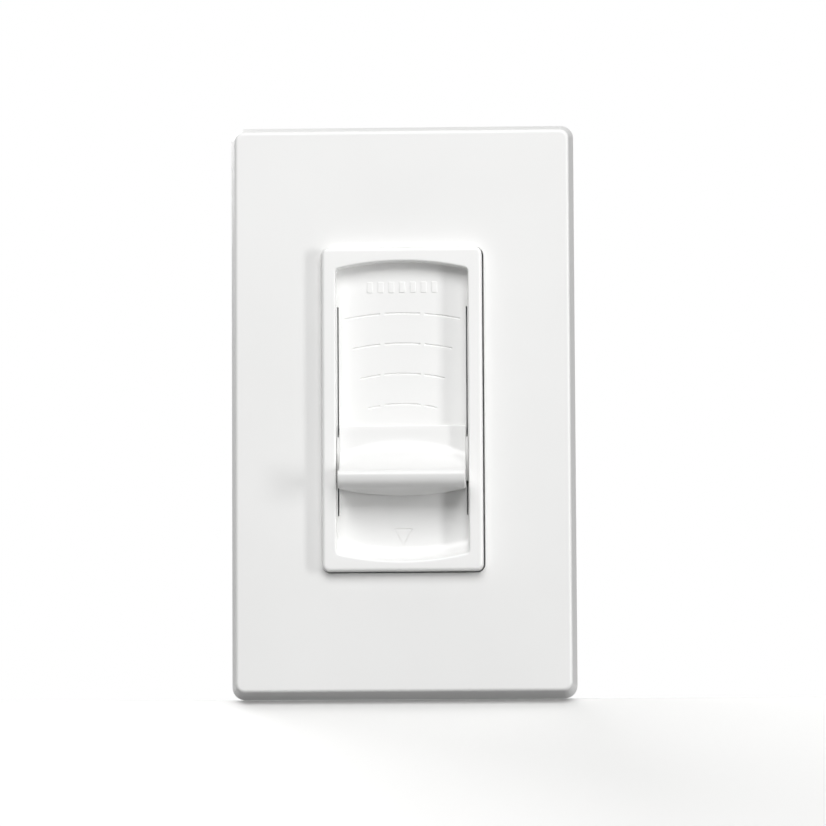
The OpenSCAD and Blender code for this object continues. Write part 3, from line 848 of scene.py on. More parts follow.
class NodeTool:
    """A Geometry Nodes tree with named inputs, whose result becomes a plain mesh in millimetres."""

    inputs: dict[str, str] = {}

    def __init__(self) -> None:
        """Builds the tree."""
        self.tree = bpy.data.node_groups.new(type(self).__name__, "GeometryNodeTree")
        face = self.tree.interface
        face.new_socket("Geometry", in_out="INPUT", socket_type="NodeSocketGeometry")
        for label, kind in {**self.inputs, "Material": "Material"}.items():
            face.new_socket(label, in_out="INPUT", socket_type=f"NodeSocket{kind}")
        face.new_socket("Geometry", in_out="OUTPUT", socket_type="NodeSocketGeometry")
        self.source = add_node(self.tree, "NodeGroupInput")
        real = add_node(self.tree, "GeometryNodeRealizeInstances", {"Geometry": self.grow()})
        smooth = add_node(self.tree, "GeometryNodeSetShadeSmooth", {"Geometry": real})
        painted = add_node(
            self.tree, "GeometryNodeSetMaterial", {"Geometry": smooth, "Material": self.source.outputs["Material"]}
        )
        add_node(self.tree, "NodeGroupOutput", {"Geometry": painted})

    def grow(self) -> bpy.types.Node:
        """Builds the tree's own nodes and returns the last one."""
        raise NotImplementedError

    def given(self, label: str) -> bpy.types.NodeSocket:
        """The socket of a named input."""
        return self.source.outputs[label]

    def made(
        self, points: Sequence[Sequence[float]], edges: Sequence[tuple[int, int]], finish: Finish, **values: Any
    ) -> Form:
        """Runs the tree on a set of points and edges.

        Args:
            points: Where the tree's pieces go, or the corners of its paths.
            edges: The paths' edges.
            finish: Finish of the result.
            **values: Value of each named input, with underscores for spaces.
        Returns:
            The result as a form.
        """
        mesh = bpy.data.meshes.new("host")
        mesh.from_pydata([tuple(p) for p in points], list(edges), [])
        host = bpy.data.objects.new("host", mesh)
        bpy.context.scene.collection.objects.link(host)
        modifier = host.modifiers.new("grow", "NODES")
        modifier.node_group = self.tree
        keys = {s.name: s.identifier for s in self.tree.interface.items_tree if s.in_out == "INPUT"}
        for label, value in {**values, "Material": finish.material()}.items():
            modifier[keys[label.replace("_", " ")]] = value
        graph = bpy.context.evaluated_depsgraph_get()
        result = bpy.data.meshes.new_from_object(host.evaluated_get(graph), depsgraph=graph)
        host.modifiers.clear()
        bpy.data.objects.remove(host)
        return Form.around(result)


class WireTool(NodeTool):
    """Draws a round wire along each path, with rounded bends."""

    inputs = {"Radius": "Float", "Bend": "Float", "Sides": "Int"}

    def grow(self) -> bpy.types.Node:
        """Path to curve, bends rounded, then swept with a circle."""
        path = add_node(self.tree, "GeometryNodeMeshToCurve", {"Mesh": self.given("Geometry")})
        bent = add_node(
            self.tree, "GeometryNodeFilletCurve",
            {"Curve": path, "Radius": self.given("Bend"), "Limit Radius": True, "Count": 4}, mode="POLY",
        )
        ring = add_node(
            self.tree, "GeometryNodeCurvePrimitiveCircle",
            {"Resolution": self.given("Sides"), "Radius": self.given("Radius")},
        )
        return add_node(
            self.tree, "GeometryNodeCurveToMesh",
            {"Curve": bent, "Profile Curve": ring.outputs["Curve"], "Fill Caps": True},
        )

    def paths(
        self, routes: Sequence[Sequence[Sequence[float]]], finish: Finish, radius: float, bend: float, sides: int = 12
    ) -> Form:
        """Draws one wire along each route.

        Args:
            routes: The corners of each route.
            finish: Finish of the wire.
            radius: Radius of the wire.
            bend: Radius of its bends.
            sides: Faces round the wire.
        Returns:
            All the wires in one form.
        """
        points, edges = [], []
        for route in routes:
            start = len(points)
            points += [tuple(p) for p in route]
            edges += [(start + i, start + i + 1) for i in range(len(route) - 1)]
        return self.made(points, edges, finish, Radius=radius, Bend=bend, Sides=sides)


class ThreadTool(NodeTool):
    """Puts a threaded shank at each point: a core, and a ridge that climbs round it."""

    inputs = {"Core Radius": "Float", "Ridge": "Float", "Pitch": "Float", "Length": "Float", "Turn": "Rotation"}

    def grow(self) -> bpy.types.Node:
        """A line and a spiral, each swept with its own profile, then copied to every point."""
        t = self.tree
        turns = add_node(t, "ShaderNodeMath", {0: self.given("Length"), 1: self.given("Pitch")}, operation="DIVIDE")
        climb = add_node(
            t, "GeometryNodeCurveSpiral",
            {"Resolution": 20, "Rotations": turns, "Start Radius": self.given("Core Radius"),
             "End Radius": self.given("Core Radius"), "Height": self.given("Length"), "Reverse": False},
        )
        upright = add_node(t, "GeometryNodeSetCurveNormal", {"Curve": climb}, mode="Z_UP")
        size = add_node(t, "ShaderNodeCombineXYZ", {"X": self.given("Ridge"), "Y": self.given("Ridge"), "Z": 1.0})
        diamond = add_node(t, "GeometryNodeCurvePrimitiveCircle", {"Resolution": 4, "Radius": 1.0})
        sized = add_node(t, "GeometryNodeTransform", {"Geometry": diamond.outputs["Curve"], "Scale": size})
        ridge = add_node(
            t, "GeometryNodeCurveToMesh", {"Curve": upright, "Profile Curve": sized, "Fill Caps": True}
        )
        end = add_node(t, "ShaderNodeCombineXYZ", {"X": 0.0, "Y": 0.0, "Z": self.given("Length")})
        line = add_node(t, "GeometryNodeCurvePrimitiveLine", {"Start": (0, 0, 0), "End": end})
        ring = add_node(t, "GeometryNodeCurvePrimitiveCircle", {"Resolution": 32, "Radius": self.given("Core Radius")})
        core = add_node(
            t, "GeometryNodeCurveToMesh", {"Curve": line, "Profile Curve": ring.outputs["Curve"], "Fill Caps": True}
        )
        both = add_node(t, "GeometryNodeJoinGeometry")
        for part in (ridge, core):
            t.links.new(part.outputs[0], both.inputs[0])
        spots = add_node(t, "GeometryNodeMeshToPoints", {"Mesh": self.given("Geometry")})
        return add_node(
            t, "GeometryNodeInstanceOnPoints", {"Points": spots, "Instance": both, "Rotation": self.given("Turn")}
        )


class CopyTool(NodeTool):
    """Copies one small piece to each point, each a little smaller if asked."""

    inputs = {"Piece": "Object", "Turn": "Rotation", "Size Spread": "Float", "Seed": "Int"}

    def grow(self) -> bpy.types.Node:
        """The piece on every point, each at a slightly different size."""
        t = self.tree
        piece = add_node(t, "GeometryNodeObjectInfo", {"Object": self.given("Piece"), "As Instance": True})
        low = add_node(t, "ShaderNodeMath", {0: 1.0, 1: self.given("Size Spread")}, operation="SUBTRACT")
        size = add_node(t, "FunctionNodeRandomValue", {"Seed": self.given("Seed")}, data_type="FLOAT")
        # The random node has a pair of sockets for each data type, so the float pair is set by number.
        t.links.new(low.outputs[0], size.inputs[2])
        size.inputs[3].default_value = 1.0
        spots = add_node(t, "GeometryNodeMeshToPoints", {"Mesh": self.given("Geometry")})
        return add_node(
            t, "GeometryNodeInstanceOnPoints",
            {
                "Points": spots,
                "Instance": piece.outputs["Geometry"],
                "Rotation": self.given("Turn"),
                "Scale": size.outputs[1],
            },
        )

    def copies(
        self, piece: Form, spots: Sequence[Sequence[float]], finish: Finish,
        turn: Sequence[float] = (0, 0, 0), spread: float = 0.0, seed: int = 3,
    ) -> Form:
        """Copies a form to each spot.

        Args:
            piece: The form, drawn round its own origin.
            spots: Where the copies go.
            finish: Their finish.
            turn: Rotation of each copy, in radians.
            spread: Largest share by which a copy is smaller.
            seed: Seed of the sizes.
        Returns:
            All the copies in one form.
        """
        model = bpy.data.objects.new("model", piece.mesh)
        bpy.context.scene.collection.objects.link(model)
        result = self.made(spots, [], finish, Piece=model, Turn=tuple(turn), Size_Spread=spread, Seed=seed)
        bpy.data.objects.remove(model)
        return result


# ---------------------------------------------------------------- the front: faceplate, bezel, paddle


@dataclass
class Faceplate:
    """The push-fit cover plate, with drafted walls and a rounded front edge. Sizes are in millimetres."""

    draft: float = 0.9
    end_draft: float = 1.3
    foot_h: float = 0.6
    edge_r: float = 0.8
    wall: float = 1.8
    back_corner: float = 2.6
    front_corner: float = 1.9
    opening_gap: float = 0.18
    opening_shift: Point2 = (0.14, -0.05)
    opening_corner: float = 1.7
    opening_edge_r: float = 0.3
    rim: float = 0.12
    rib_z: tuple[float, ...] = (-38, 0, 38)
    rib_half_h: float = 6.0
    rib_depths: Point2 = (-2.4, -0.8)
    bar_z: tuple[float, ...] = (-45, 45)
    bar_half_w: float = 29.0

    def build(self) -> None:
        """Makes the shell as one ring of loops, adds its snap ribs and inner bars and places it."""
        box = Box.of("faceplate")
        half_w, half_h = box.size.x / 2, box.size.z / 2
        back, front = box.high.y, box.low.y
        depth = back - front
        bezel = Box.of("bezel").size
        open_w, open_h = bezel.x / 2 + self.opening_gap, bezel.z / 2 + self.opening_gap
        inner = front + self.wall

        def wall_loop(inset: float, corner: float, y: float, lean: float = 0.0) -> list[Point3]:
            """An outline of the walls at one depth, leaning in by the given share of their full draft."""
            side, end = inset + lean * self.draft, inset + lean * self.end_draft
            return at_depth(bowed_outline(half_w - side, half_h - end, end - half_h, corner), y)

        def opening_loop(out: float, y: float) -> list[Point3]:
            """An outline of the opening at one depth, moved by the play that the plate has round the bezel."""
            outline = bowed_outline(open_w + out, open_h + out, -open_h - out, self.opening_corner + out)
            return at_depth([(x + self.opening_shift[0], z + self.opening_shift[1]) for x, z in outline], y)

        rim = self.rim
        loops = [
            wall_loop(rim, self.back_corner - rim, back),
            wall_loop(0.0, self.back_corner, back - rim),
            wall_loop(0.0, self.back_corner, back - self.foot_h),
        ]
        for inset, below in rounding(self.edge_r, 10):
            loops.append(wall_loop(inset, self.front_corner - inset, front + below, 1.0))
        loops += [opening_loop(out, front + below) for below, out in rounding(self.opening_edge_r, 5)]
        loops.append(opening_loop(0.0, inner))
        lean = (depth - self.wall - self.foot_h) / (depth - self.edge_r - self.foot_h)
        loops.append(wall_loop(self.wall + 0.3, 1.2, inner, lean))
        loops.append(wall_loop(self.wall, 1.5, inner + 0.3, lean * 0.92))
        loops.append(wall_loop(self.wall + rim, 1.7, back))
        shell = Form.loft(loops, ring=True)
        ribs = []
        for z in self.rib_z:
            for side in (-1, 1):
                rib_x = (half_w - self.wall - 0.75, half_w - 1.2)
                rib = Form.sided(side, rib_x, self.rib_depths, (z - self.rib_half_h, z + self.rib_half_h))
                ribs.append(rib.eased(0.25))
        for z in self.bar_z:
            low, high = (-self.bar_half_w, inner - 0.3, z - 0.5), (self.bar_half_w, inner + 0.15, z + 0.5)
            ribs.append(Form.block(low, high))
        shell.join(*ribs)
        shell.placed("faceplate_shell", FACEPLATE_PLASTIC, Body.COVER, ["faceplate"], "faceplate_plastic")


@dataclass
class Bezel:
    """The frame and recessed panel in one moulding. Sizes are in millimetres."""

    corner: float = 1.4
    edge_r: float = 0.75
    recess_half_w: float = 13.5
    recess_top: float = 30.3
    recess_bottom: float = -30.8
    recess_corner: float = 0.9
    panel_depth: float = PANEL_DEPTH
    panel_t: float = 1.4
    bow_r: float = 57.75
    cove_r: float = 3.0
    lip_r: float = 0.35
    skirt: float = 1.2
    slot_inner_x: float = 13.01
    slot_outer_x: float = 13.29
    slot_low: float = -21.55
    slot_high: float = 21.25
    frame_back: float = -1.6
    stake_spot: Point2 = (13.2, 28.2)
    mark_count: int = 4
    mark_top_z: float = 19.85
    mark_pitch: float = 6.2
    mark_half_w: float = 11.8
    mark_line: float = 0.5
    mark_floor: float = 0.14
    mark_depth: float = 0.2
    mark_taper: float = 1.6
    mark_sag: float = 1.2
    mark_gap: Point2 = (3.7, 4.5)
    arrow_half: Point2 = (1.85, 1.7)
    arrow_z: float = -26.1
    arrow_line: float = 0.2
    bar_half: Point3 = (0.55, 0.15, 1.1)
    bar_pitch: float = 2.2
    bar_z: float = 25.2

    def build(self, copy_tool: CopyTool) -> None:
        """Lofts the moulding, cuts its slots and marks, and adds the raised bars.

        Args:
            copy_tool: Tool that repeats the bars.
        """
        box = Box.of("bezel")
        front = box.low.y
        panel = front + self.panel_depth
        moulding = self.moulding(box, front, panel)
        moulding.join(*self.stakes(panel))
        moulding.cut(*self.slots(panel), *self.marks(panel), *self.arrow(panel))
        moulding.join(self.bars(panel, copy_tool))
        moulding.placed("bezel_moulding", BEZEL_PLASTIC, Body.DEVICE, ["bezel"], "bezel_plastic")

    def moulding(self, box: Box, front: float, panel: float) -> Form:
        """The frame, its recess with the cove, and the skirt behind.

        Args:
            box: The bezel's box.
            front: Depth of the front face.
            panel: Depth of the panel.
        Returns:
            The closed form.
        """
        half_w, half_h = box.size.x / 2, box.size.z / 2
        back = self.frame_back
        panel_back = panel + self.panel_t

        def outer(inset: float, y: float) -> list[Point3]:
            """The outside at one depth."""
            corner = self.corner - min(inset, 1.1)
            return at_depth(bowed_outline(half_w - inset, half_h - inset, inset - half_h, corner), y)

        def recess(depth: float) -> list[Point3]:
            """The recess at one depth: its lips roll over, and the cove closes in.

            Args:
                depth: Depth below the bezel's front.
            Returns:
                The loop.
            """
            lip = self.roll(self.lip_r, depth)
            sill = self.roll(self.panel_depth - self.cove_r, depth)
            drop = max(0.0, depth - (self.panel_depth - self.cove_r))
            close = self.cove_r - math.sqrt(max(0.0, self.cove_r**2 - drop**2))
            low_bow = self.bow_r + sill - close
            corner = self.recess_corner + lip
            return at_depth(
                bowed_outline(
                    self.recess_half_w + lip, self.recess_top + lip, self.recess_bottom - sill + close, corner,
                    self.bow_r + lip, low_bow,
                ),
                front + depth,
            )

        loops = [outer(self.skirt, panel_back), outer(self.skirt, back), outer(0.0, back)]
        loops += [outer(inset, front + below) for inset, below in rounding(self.edge_r, 6)]
        sill_depth = self.panel_depth - self.cove_r
        depths = [sill_depth * (1 - math.cos(math.radians(90 * i / 10))) for i in range(11)]
        depths += [sill_depth + self.cove_r * math.sin(math.radians(90 * i / 14)) for i in range(1, 15)]
        loops += [recess(d) for d in depths]
        return Form.loft(loops)

    @staticmethod
    def roll(radius: float, depth: float) -> float:
        """How far a lip of this radius has rolled out at this depth below the front."""
        if depth >= radius:
            return 0.0
        return radius - math.sqrt(max(0.0, radius**2 - (radius - depth) ** 2))

    def stakes(self, panel: float) -> list[Form]:
        """The four stakes behind the panel, each with a neck and a spread head.

        Args:
            panel: Depth of the panel.
        Returns:
            The closed forms.
        """
        y = panel + self.panel_t
        neck = self.frame_back - y
        profile = [(2.1, -0.1), (2.1, neck), (1.2, neck), (1.2, neck + 0.8), (1.8, neck + 1.45)]
        x, z = self.stake_spot
        return [Form.lathe(profile, (sx * x, y, sz * z), "Y", 24) for sx in (-1, 1) for sz in (-1, 1)]

    def slots(self, panel: float) -> list[Form]:
        """Cutters for the two slots beside the panel."""
        xs, zs = (self.slot_inner_x, self.slot_outer_x), (self.slot_low, self.slot_high)
        return [Form.sided(side, xs, (panel - 0.5, panel + 2.0), zs) for side in (-1, 1)]

    def marks(self, panel: float) -> list[Form]:
        """Cutters for the curved index marks.

        Args:
            panel: Depth of the panel.
        Returns:
            Three forms for each mark, one for each of its lengths.
        """
        cutters = []
        for i in range(self.mark_count):
            half = self.mark_half_w - self.mark_taper * i
            sag = self.mark_sag - 0.1 * i
            radius = (half * half + sag * sag) / (2 * sag)
            hub = self.mark_top_z - self.mark_pitch * i - radius
            near, far = self.mark_gap
            for x0, x1 in ((-half, -far), (-near, near), (far, half)):
                a0, a1 = math.degrees(math.acos(x0 / radius)), math.degrees(math.acos(x1 / radius))
                mouth, floor = (
                    arc_points((0, hub), radius + line / 2, a0, a1, 12)
                    + arc_points((0, hub), radius - line / 2, a1, a0, 12)
                    for line in (self.mark_line, self.mark_floor)
                )
                bottom = at_depth(floor, panel + self.mark_depth)
                cutters.append(Form.loft([at_depth(mouth, panel - 0.3), at_depth(mouth, panel), bottom]))
        return cutters

    def arrow(self, panel: float) -> list[Form]:
        """Cutters for the triangle that points down.

        Args:
            panel: Depth of the panel.
        Returns:
            One form for each of its three strokes.
        """
        (half_w, half_h), z = self.arrow_half, self.arrow_z
        corners = [Vector((-half_w, z + half_h)), Vector((half_w, z + half_h)), Vector((0.0, z - half_h))]
        strokes = []
        for a, b in zip(corners, corners[1:] + corners[:1]):
            along = (b - a).normalized()
            side = Vector((-along.y, along.x)) * self.arrow_line
            ends = [a + side, b + side, b - side, a - side]
            strokes.append(Form.prism([tuple(e) for e in ends], panel - 0.5, panel + self.mark_depth))
        return strokes

    def bars(self, panel: float, copy_tool: CopyTool) -> Form:
        """A plain row of raised bars near the top of the panel."""
        bar = Form.block([-half for half in self.bar_half], self.bar_half).eased(0.08, 2)
        spots = [(self.bar_pitch * i, panel, self.bar_z) for i in range(-3, 4)]
        return copy_tool.copies(bar, spots, BEZEL_PLASTIC)


@dataclass
class Paddle:
    """The ramped paddle with its two legs. Sizes are in millimetres."""

    half_w: float = 12.9
    lip_h: float = 1.0
    base_gap: float = 0.3
    ramp_start: float = -5.65
    ramp_slope: float = 1.5
    crest_z: float = -13.9
    crest_r: float = 1.0
    nose_r: float = 2.6
    scoop_sag: float = 3.0
    foot_bow: float = 57.75
    side_r: float = 0.3
    leg_w: float = 0.22
    leg_out: float = 13.26
    leg_len: float = 9.0
    flange_in: float = 12.3
    scoop_pull: float = 0.56
    stations: int = 36

    def build(self) -> None:
        """Lofts the paddle from side to side, then adds its legs and the pocket behind."""
        box = Box.of("slider_paddle")
        carriage = Box.of("slider_carriage")
        panel = Box.of("bezel").low.y + PANEL_DEPTH
        loops = []
        for i in range(self.stations + 1):
            x = -self.half_w + 2 * self.half_w * i / self.stations
            loops.append([(x, y, z) for y, z in self.profile(x, box, panel)])
        body = Form.loft(loops).eased(self.side_r, 3, 50)
        pocket = Form.block((-11, panel - 4.4, -15.2), (11, panel + 1, -13.6))
        body.cut(pocket)
        middle = carriage.centre.z
        leg_z = (middle - self.leg_len / 2, middle + self.leg_len / 2)
        base = panel - self.base_gap
        for side in (-1, 1):
            body.join(
                Form.sided(side, (self.flange_in, box.high.x), (panel - self.lip_h + 0.15, base), leg_z),
                Form.sided(side, (self.leg_out - self.leg_w, self.leg_out), (base - 0.1, box.high.y), leg_z),
            )
        body.placed("paddle_body", PADDLE_PLASTIC, Body.SLIDER, ["slider_paddle"], "paddle_plastic")

    def profile(self, x: float, box: Box, panel: float) -> list[Point2]:
        """The paddle's section at one place across it.

        Args:
            x: Place across the paddle.
            box: The paddle's box.
            panel: Depth of the panel.
        Returns:
            Points (y, z), from the top edge down the ramp, over the crest and back along the base.
        """
        share = (x / self.half_w) ** 2
        top_z, peak_y = box.high.z, box.low.y
        base_y = panel - self.base_gap
        lip_y = panel - self.lip_h
        start_z = self.ramp_start - self.scoop_sag * share
        slope = math.radians(self.ramp_slope)
        start_y = lip_y - (top_z - start_z) * math.tan(slope)
        foot = Vector((base_y - 0.2, box.low.z + self.foot_bow - math.sqrt(self.foot_bow**2 - x * x)))
        points = [(base_y, top_z), (lip_y + 0.25, top_z), (lip_y + 0.07, top_z - 0.07), (lip_y, top_z - 0.25)]
        points += [(lip_y + (start_y - lip_y) * t, top_z - 0.25 + (start_z - top_z + 0.25) * t) for t in (0.33, 0.66)]
        # The scoop leaves the lip along its slope and reaches the crest straight outwards.
        p0 = Vector((start_y, start_z))
        p3 = Vector((peak_y + self.crest_r, self.crest_z + self.crest_r))
        p1 = p0 + Vector((-math.sin(slope), -math.cos(slope))) * self.scoop_pull * (start_z - p3.y)
        p2 = p3 + Vector((1, 0)) * self.scoop_pull * (start_y - p3.x)
        for i in range(25):
            t = i / 24
            p = (1 - t) ** 3 * p0 + 3 * (1 - t) ** 2 * t * p1 + 3 * (1 - t) * t * t * p2 + t**3 * p3
            points.append((p.x, p.y))
        points += arc_points((peak_y + self.crest_r, self.crest_z), self.crest_r, 90, 180, 6)[1:]
        # The nose turns slowly under, until it points at the foot.
        hub = Vector((peak_y + self.nose_r, self.crest_z))
        reach = foot - hub
        turn = math.atan2(reach.y, reach.x) - math.acos(min(1.0, self.nose_r / reach.length))
        end = 360 + math.degrees(turn)
        points += arc_points((hub.x, hub.y), self.nose_r, 180, end, 14)[1:]
        last = Vector(points[-1])
        points += [tuple(last.lerp(foot, t)) for t in (0.25, 0.5, 0.75)]
        points += [tuple(foot), (base_y, foot.y + 0.2)]
        return points


# ---------------------------------------------------------------- behind the front


@dataclass
class PlateAdapter:
    """The frame that takes the faceplate, with its two countersunk screws. Sizes are in millimetres."""

    easing: float = 0.18
    thread_pitch: float = 0.794
    thread_depth: float = 0.38
    head_r: float = 2.9
    screw_r: float = 1.75

    def build(self, threads: ThreadTool) -> None:
        """Places the frame and its screws.

        Args:
            threads: Tool that makes the threaded shanks.
        """
        soften("plate_adapter", "adapter_frame", ADAPTER_PLASTIC, "adapter_plastic", self.easing)
        box = Box.of("adapter_screws")
        spots = [(0.0, box.low.y, s * (box.high.z - self.head_r)) for s in (-1, 1)]
        profile = [(self.head_r - 0.15, 0.0), (self.head_r, 0.12), (self.head_r - 0.02, 0.2), (1.5, 1.35), (1.4, 1.5)]
        screws = screw_set(
            threads, spots, profile, start=1.3, length=box.size.y - 2.2, tip=0.9, radius=self.screw_r,
            pitch=self.thread_pitch, depth=self.thread_depth, slot=(0.8, 0.85),
        )
        screws.placed("adapter_screw_set", SCREW_STEEL, Body.DEVICE, ["adapter_screws"], "screw_steel")


def screw_set(
    threads: ThreadTool, spots: Sequence[Sequence[float]], profile: Sequence[Point2], start: float, length: float,
    tip: float, radius: float, pitch: float, depth: float, slot: Point2,
) -> Form:
    """Slotted machine screws that point along +Y.

    Args:
        threads: Tool that makes the threaded shanks.
        spots: Middle of each head's front face.
        profile: Head's profile, (radius, depth behind its front face).
        start: Where the thread starts, behind the head's front face.
        length: Length of the thread.
        tip: Length of the plain point after the thread.
        radius: Outer radius of the thread.
        pitch: Distance from one turn to the next.
        depth: Depth of the thread.
        slot: Width and depth of the driver slot.
    Returns:
        All the screws in one form.
    """
    core = radius - depth
    parts = []
    for x, y, z in spots:
        head = Form.lathe(profile, (x, y, z), "Y", 48)
        head.cut(Form.block((x - 5, y - 1, z - slot[0] / 2), (x + 5, y + slot[1], z + slot[0] / 2))).eased(0.06, 2)
        parts.append(head)
        end = start + length
        point = [(core, end - 0.05), (core * 0.98, end + tip * 0.3), (core * 0.62, end + tip), (0.0, end + tip)]
        parts.append(Form.lathe(point, (x, y, z), "Y", 32))
    shank_spots = [(x, y + start, z) for x, y, z in spots]
    shanks = threads.made(
        shank_spots, [], SCREW_STEEL, Core_Radius=core, Ridge=depth, Pitch=pitch, Length=length,
        Turn=(-math.pi / 2, 0.0, 0.0),
    )
    return shanks.beside(*parts)


@dataclass
class MountingStrap:
    """The aluminium strap with its box screws, washers, rivets and earth screw. Sizes are in millimetres."""

    easing: float = 0.15
    head_r: float = 3.0
    head_h: float = 1.9
    neck_r: float = 1.4
    screw_r: float = 1.75
    thread_pitch: float = 0.794
    thread_depth: float = 0.38
    rivet_head_r: float = 2.1

    def build(self, threads: ThreadTool, copy_tool: CopyTool) -> None:
        """Places the strap and everything that is fixed to it.

        Args:
            threads: Tool that makes the threaded shanks.
            copy_tool: Tool that repeats the rivets.
        """
        soften("mounting_strap", "strap_plate", STRAP_ALUMINIUM, "strap_aluminium", self.easing)
        self.box_screws(threads)
        soften("screw_washers", "captive_washers", WASHER_FIBRE, "washer_fibre", 0.12)
        self.rivets(copy_tool)
        soften("ground_clamp", "earth_clamp", TERMINAL_BRASS, "terminal_brass", 0.12)
        soften("ground_screw", "earth_screw", GROUND_GREEN, "ground_green", 0.14)

    def box_screws(self, threads: ThreadTool) -> None:
        """Places the two long screws that hold the strap to the wall box.

        Args:
            threads: Tool that makes the threaded shanks.
        """
        box = Box.of("box_screws")
        spots = [(0.0, box.low.y, s * (box.high.z - self.head_r)) for s in (-1, 1)]
        r = self.head_r
        profile = [(0.0, 0.0)] + [
            (r * math.sin(math.radians(a)), 1.15 * (1 - math.cos(math.radians(a)))) for a in (15, 30, 45, 60, 75, 88)
        ]
        profile += [(r, 1.35), (r, self.head_h - 0.12), (r - 0.12, self.head_h), (self.neck_r, self.head_h)]
        profile += [(self.neck_r, 5.0)]
        screws = screw_set(
            threads, spots, profile, start=5.0, length=20.4, tip=1.0, radius=self.screw_r,
            pitch=self.thread_pitch, depth=self.thread_depth, slot=(0.8, 0.9),
        )
        screws.placed("box_screw_set", SCREW_STEEL, Body.DEVICE, ["box_screws"], "screw_steel")

    def rivets(self, copy_tool: CopyTool) -> None:
        """Places the four tubular rivets through the strap.

        Args:
            copy_tool: Tool that repeats the rivet.
        """
        box = Box.of("housing_rivets")
        head = self.rivet_head_r
        x, z = box.high.x - head, box.high.z - head
        # From the floor of the hollow, out over the rolled head, and down the shank.
        profile = [(0.0, 3.5), (0.7, 3.5), (0.72, 0.35), (1.0, 0.05), (1.3, 0.0), (1.75, 0.12), (2.05, 0.45)]
        profile += [(head, 0.8), (1.3, 0.82), (1.3, box.size.y - 0.15), (1.15, box.size.y)]
        rivet = Form.lathe(profile, (0, 0, 0), "Y", 40)
        spots = [(sx * x, box.low.y, sz * z) for sx in (-1, 1) for sz in (-1, 1)]
        copy_tool.copies(rivet, spots, RIVET_STEEL).placed(
            "strap_rivets", RIVET_STEEL, Body.DEVICE, ["housing_rivets"], "rivet_steel", Shade.SOFT
        )


@dataclass
class RearHousing:
    """The thermoset case behind the strap. Sizes are in millimetres."""

    corner: float = 2.5
    back_r: float = 1.2
    wall: float = 2.0
    rivet_spot: Point2 = (19.0, 28.5)
    terminal_z: float = 14.0
    terminal_y: float = 8.0
    pocket_floor: float = 17.5
    vent_pitch: float = 4.0
    vent_z: float = 12.0
    vent_half: Point2 = (0.6, 7.0)
    post_half: Point2 = (2.0, 2.3)
    ledge_x: float = 17.4
    ledge_z: float = 23.0

    def build(self) -> None:
        """Moulds the cup, then adds its posts and ledges and cuts its pockets and vents."""
        box = Box.of("rear_housing")
        half_w, half_h = box.size.x / 2, box.size.z / 2
        front, back = box.low.y, box.high.y
        in_w = half_w - self.wall

        def outline(inset: float, corner: float, y: float) -> list[Point3]:
            """The case's outline at one depth."""
            return at_depth(bowed_outline(half_w - inset, half_h - inset, inset - half_h, corner), y)

        loops = [outline(self.wall, 1.0, back - self.wall), outline(self.wall, 1.0, front)]
        loops += [outline(0.15, self.corner - 0.15, front), outline(0.0, self.corner, front + 0.15)]
        loops += [outline(inset, self.corner - inset, back - below) for inset, below in rounding(self.back_r, 6)]
        case = Form.loft(loops)
        board_back = Box.of("circuit_board").high.y
        for sx in (-1, 1):
            for sz in (-1, 1):
                x, z = sx * (self.rivet_spot[0] - 0.4), sz * (self.rivet_spot[1] + 0.2)
                w, h = self.post_half
                case.join(Form.block((x - w, front + 0.02, z - h), (x + w, back - 1.0, z + h)))
                z = sz * self.ledge_z
                case.join(Form.sided(sx, (self.ledge_x, in_w + 0.5), (board_back, board_back + 3), (z - 1.5, z + 1.5)))
                self.pocket(case, sx, sz * self.terminal_z, in_w, half_w)
        for sx in (-1, 1):
            for sz in (-1, 1):
                spot = (sx * self.rivet_spot[0], 0.0, sz * self.rivet_spot[1])
                case.cut(Form.lathe([(1.35, front - 1), (1.35, 10.2)], spot, "Y", 28))
        for i in range(-3, 4):
            for sz in (-1, 1):
                x, z = i * self.vent_pitch, sz * self.vent_z
                w, h = self.vent_half
                case.cut(Form.block((x - w, back - self.wall - 1, z - h), (x + w, back + 1, z + h)))
        case.placed("housing_shell", HOUSING_PLASTIC, Body.DEVICE, ["rear_housing"], "housing_plastic")

    def pocket(self, case: Form, side: int, z: float, in_w: float, half_w: float) -> None:
        """One side pocket for a terminal, with its hole for the screw and its slit for the plate's tail.

        Args:
            case: The case.
            side: 1 on the right, -1 on the left.
            z: Height of the pocket's middle.
            in_w: Half of the width inside.
            half_w: Half of the width outside.
        """
        y, floor = self.terminal_y, self.pocket_floor
        case.join(Form.sided(side, (floor - 2, in_w + 0.5), (0.05, y + 7), (z - 7, z + 7)))
        case.cut(
            Form.sided(side, (floor, half_w + 1), (y - 5, y + 5), (z - 5, z + 5)),
            Form.lathe([(2.1, side * 10), (2.1, side * 20)], (0.0, y, z), "X", 28),
            Form.sided(side, (10, 20), (y + 2.7, y + 3.9), (z - 3.1, z + 3.1)),
        )


@dataclass
class SideTerminals:
    """The two brass side terminals with their clamps and screws. Sizes are in millimetres."""

    easing: float = 0.1

    def build(self) -> None:
        """Places the plates, clamps and screws."""
        for node, name in (
            ("terminal_plates", "terminal_plate_pair"), ("terminal_clamps", "terminal_clamp_pair"),
            ("terminal_screws", "terminal_screw_pair"),
        ):
            soften(node, name, TERMINAL_BRASS, "terminal_brass", self.easing)


